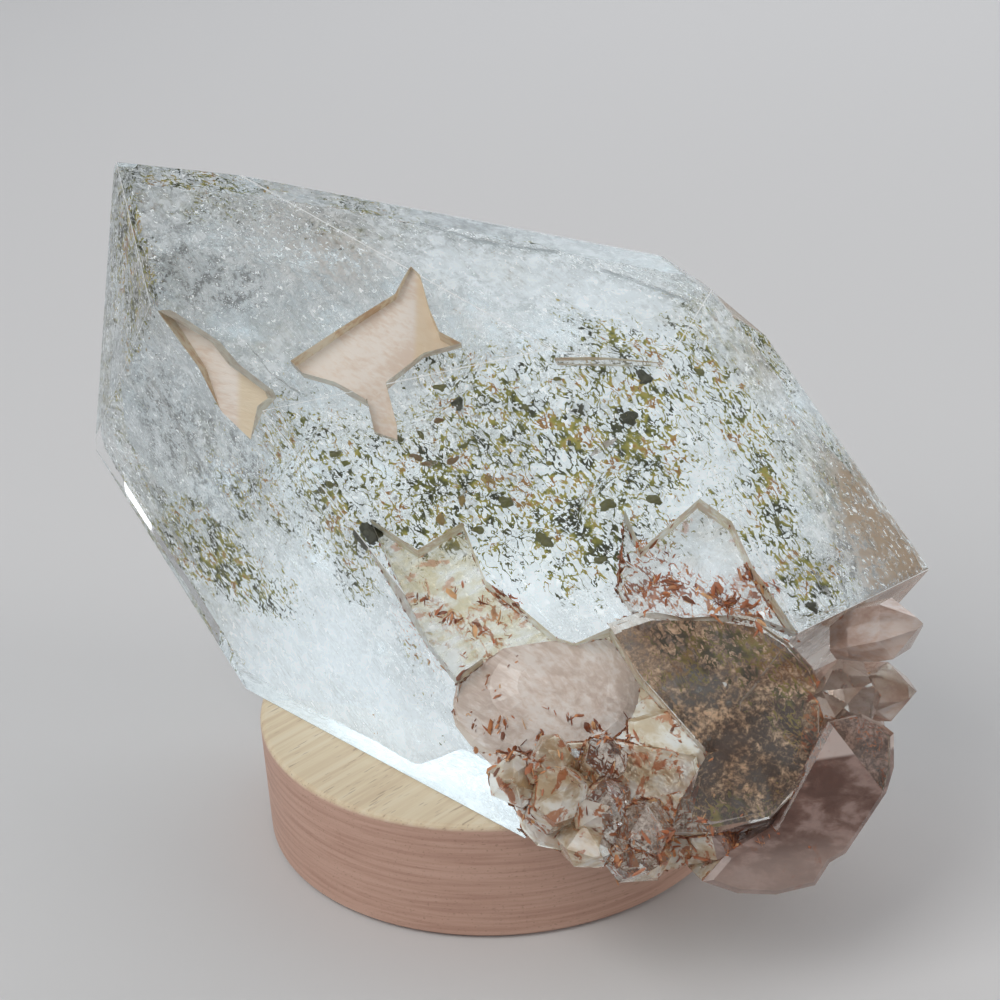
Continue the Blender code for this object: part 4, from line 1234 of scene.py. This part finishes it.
for facet, x, y, long, short, turn, tone in GRAINS:
    trio = look_in(
        np.array([x, x + 5.0 * math.cos(math.radians(turn))]),
        np.array([y, y + 5.0 * math.sin(math.radians(turn))]), facet,
        (GRAIN_DEPTH + 0.5 * short) * MM,
    )
    lengthwise = (trio[1] - trio[0]) / np.linalg.norm(trio[1] - trio[0])
    out = facet_out[facet_names.index(facet)]
    axes = np.stack([lengthwise * long, np.cross(out, lengthwise) * short, out * 0.6 * short]) * MM
    grain = ball @ axes
    uneven = 1.0 + GRAIN_ROUGH * ripple(grain + trio[0], 1.3 * MM, int(x))
    grain_places.append(GRAIN_SIZE * grain * uneven[:, None] + trio[0])
    grain_tones.append(np.repeat(FLAKE_TONES[GRAIN_TONES[tone]][None], len(ball), axis=0))
grain_starts = len(ball) * np.arange(len(GRAINS))[:, None, None]
grain_faces = (ball_quads[None] + grain_starts).reshape(-1, 4)
grain_places = np.concatenate(grain_places) + STONE_ZERO
grains = mesh_object("grains", grain_places, grain_faces, smooth=True)
colour_field(grains, np.concatenate(grain_tones))
grains.data.materials.append(flake_material)
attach(grains, "root")

# ---------------------------------------------------------------------------------------------
# Healed cracks: thin bright or dusty films that run down into the stone from its faces. Each
# was a crack that quartz closed again, with dust or air left in it.
# facet, places in the picture, thickness in millimetres, depth in millimetres, tone
CRACKS = [
    ("front", [(780, 652), (762, 676), (740, 703), (740, 711)], 0.30, -0.6, "white"),
    ("front", [(808, 776), (787, 797), (767, 816)], 0.45, 1.2, "white"),
    ("front", [(590, 457), (604, 446), (617, 437)], 1.1, 1.0, "clay"),
    ("front", [(655, 830), (714, 832), (768, 816)], 0.35, 1.3, "dark"),
    ("right", [(822, 478), (846, 528), (858, 566)], 0.25, 1.0, "white"),
    ("right", [(846, 478), (860, 520), (878, 556)], 0.20, 1.2, "clay"),
    ("right", [(832, 520), (838, 566), (850, 606)], 0.25, 1.0, "white"),
    ("left", [(140, 470), (165, 520), (196, 566)], 0.18, 1.2, "white"),
    ("left", [(150, 380), (186, 440), (214, 486)], 0.16, 1.2, "white"),
    ("front_tip", [(150, 190), (196, 260), (212, 300)], 0.16, 1.0, "white"),
    ("front_tip", [(246, 340), (270, 372), (300, 392)], 0.20, 1.0, "white"),
    ("top_tip", [(420, 222), (480, 240), (560, 252)], 0.16, 1.0, "white"),
    ("top_tip", [(600, 268), (650, 285), (690, 300)], 0.20, 1.0, "white"),
]
CRACK_STEPS = 40
CRACK_DEEP = 1.6
CRACK_WAVES = 0.10
CRACK_TONES = {
    "white": (0.90, 0.94, 0.96), "clay": (0.80, 0.70, 0.60), "dark": (0.10, 0.06, 0.045),
}
CRACK_DUST = (0.45, 0.45, 0.43)
crack_places, crack_tones = [], []
for place, (facet, line, wide, depth, tone) in enumerate(CRACKS):
    line = np.array(line, dtype=float)
    length = np.concatenate([[0.0], np.cumsum(np.linalg.norm(np.diff(line, axis=0), axis=1))])
    along = np.linspace(0.0, length[-1], CRACK_STEPS)
    x, y = (np.interp(along, length, line[:, i]) for i in (0, 1))
    run = look_in(x, y, facet, depth * MM)
    run += (ripple(run, 2.5 * MM, 60 + place) * CRACK_WAVES * MM)[:, None] * picture_up
    out = facet_out[facet_names.index(facet)]
    way = np.gradient(run, axis=0)
    across = np.cross(way, out)
    across /= np.linalg.norm(across, axis=1, keepdims=True)
    taper = np.sin(np.linspace(0.15, math.pi - 0.15, CRACK_STEPS))[:, None] * 0.5 * wide * MM
    crack_places.append(np.stack([
        run + across * taper, run - across * taper, run - across * taper - out * CRACK_DEEP * MM,
    ], 1).reshape(-1, 3))
    crack_tones.append(np.repeat(np.array([CRACK_TONES[tone]]), CRACK_STEPS * 3, axis=0))
number = np.arange(CRACK_STEPS * 3).reshape(CRACK_STEPS, 3)
crack_quads = np.vstack([
    np.stack([number[:-1, i], number[1:, i], number[1:, i + 1], number[:-1, i + 1]], 1)
    for i in (0, 1)
])
crack_starts = CRACK_STEPS * 3 * np.arange(len(CRACKS))[:, None, None]
crack_faces = (crack_quads[None] + crack_starts).reshape(-1, 4)
crack_places = np.concatenate(crack_places) + STONE_ZERO
cracks = mesh_object("healed_cracks", crack_places, crack_faces, smooth=True)
colour_field(cracks, np.concatenate(crack_tones))
crack_material, tree, shader = new_material("healed_crack", Roughness=0.3)
tone = node(tree, "ShaderNodeAttribute", attribute_name="tone").outputs["Color"]
dust = noise(tree, object_coordinates(tree), 700.0, 3.0, 0.6)
tone = blend(tree, step(tree, dust, 0.35, 0.65, 0.0, 0.4), tone, CRACK_DUST)
tree.links.new(tone, shader.inputs["Base Color"])
tree.links.new(step(tree, dust, 0.36, 0.56, 0.1, 0.9), shader.inputs["Alpha"])
cracks.data.materials.append(crack_material)
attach(cracks, "root")

# ---------------------------------------------------------------------------------------------
# The sizes of the solids and of what is seen, as the script's last value.
size_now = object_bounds()


def plain(value):
    """Bounds as plain lists of numbers."""
    if isinstance(value, dict):
        return {key: plain(item) for key, item in value.items()}
    if isinstance(value, (str, int, float, bool)) or value is None:
        return value
    return [plain(item) for item in value]


{"cad": plain(cad_bounds), "visual": plain(size_now)}
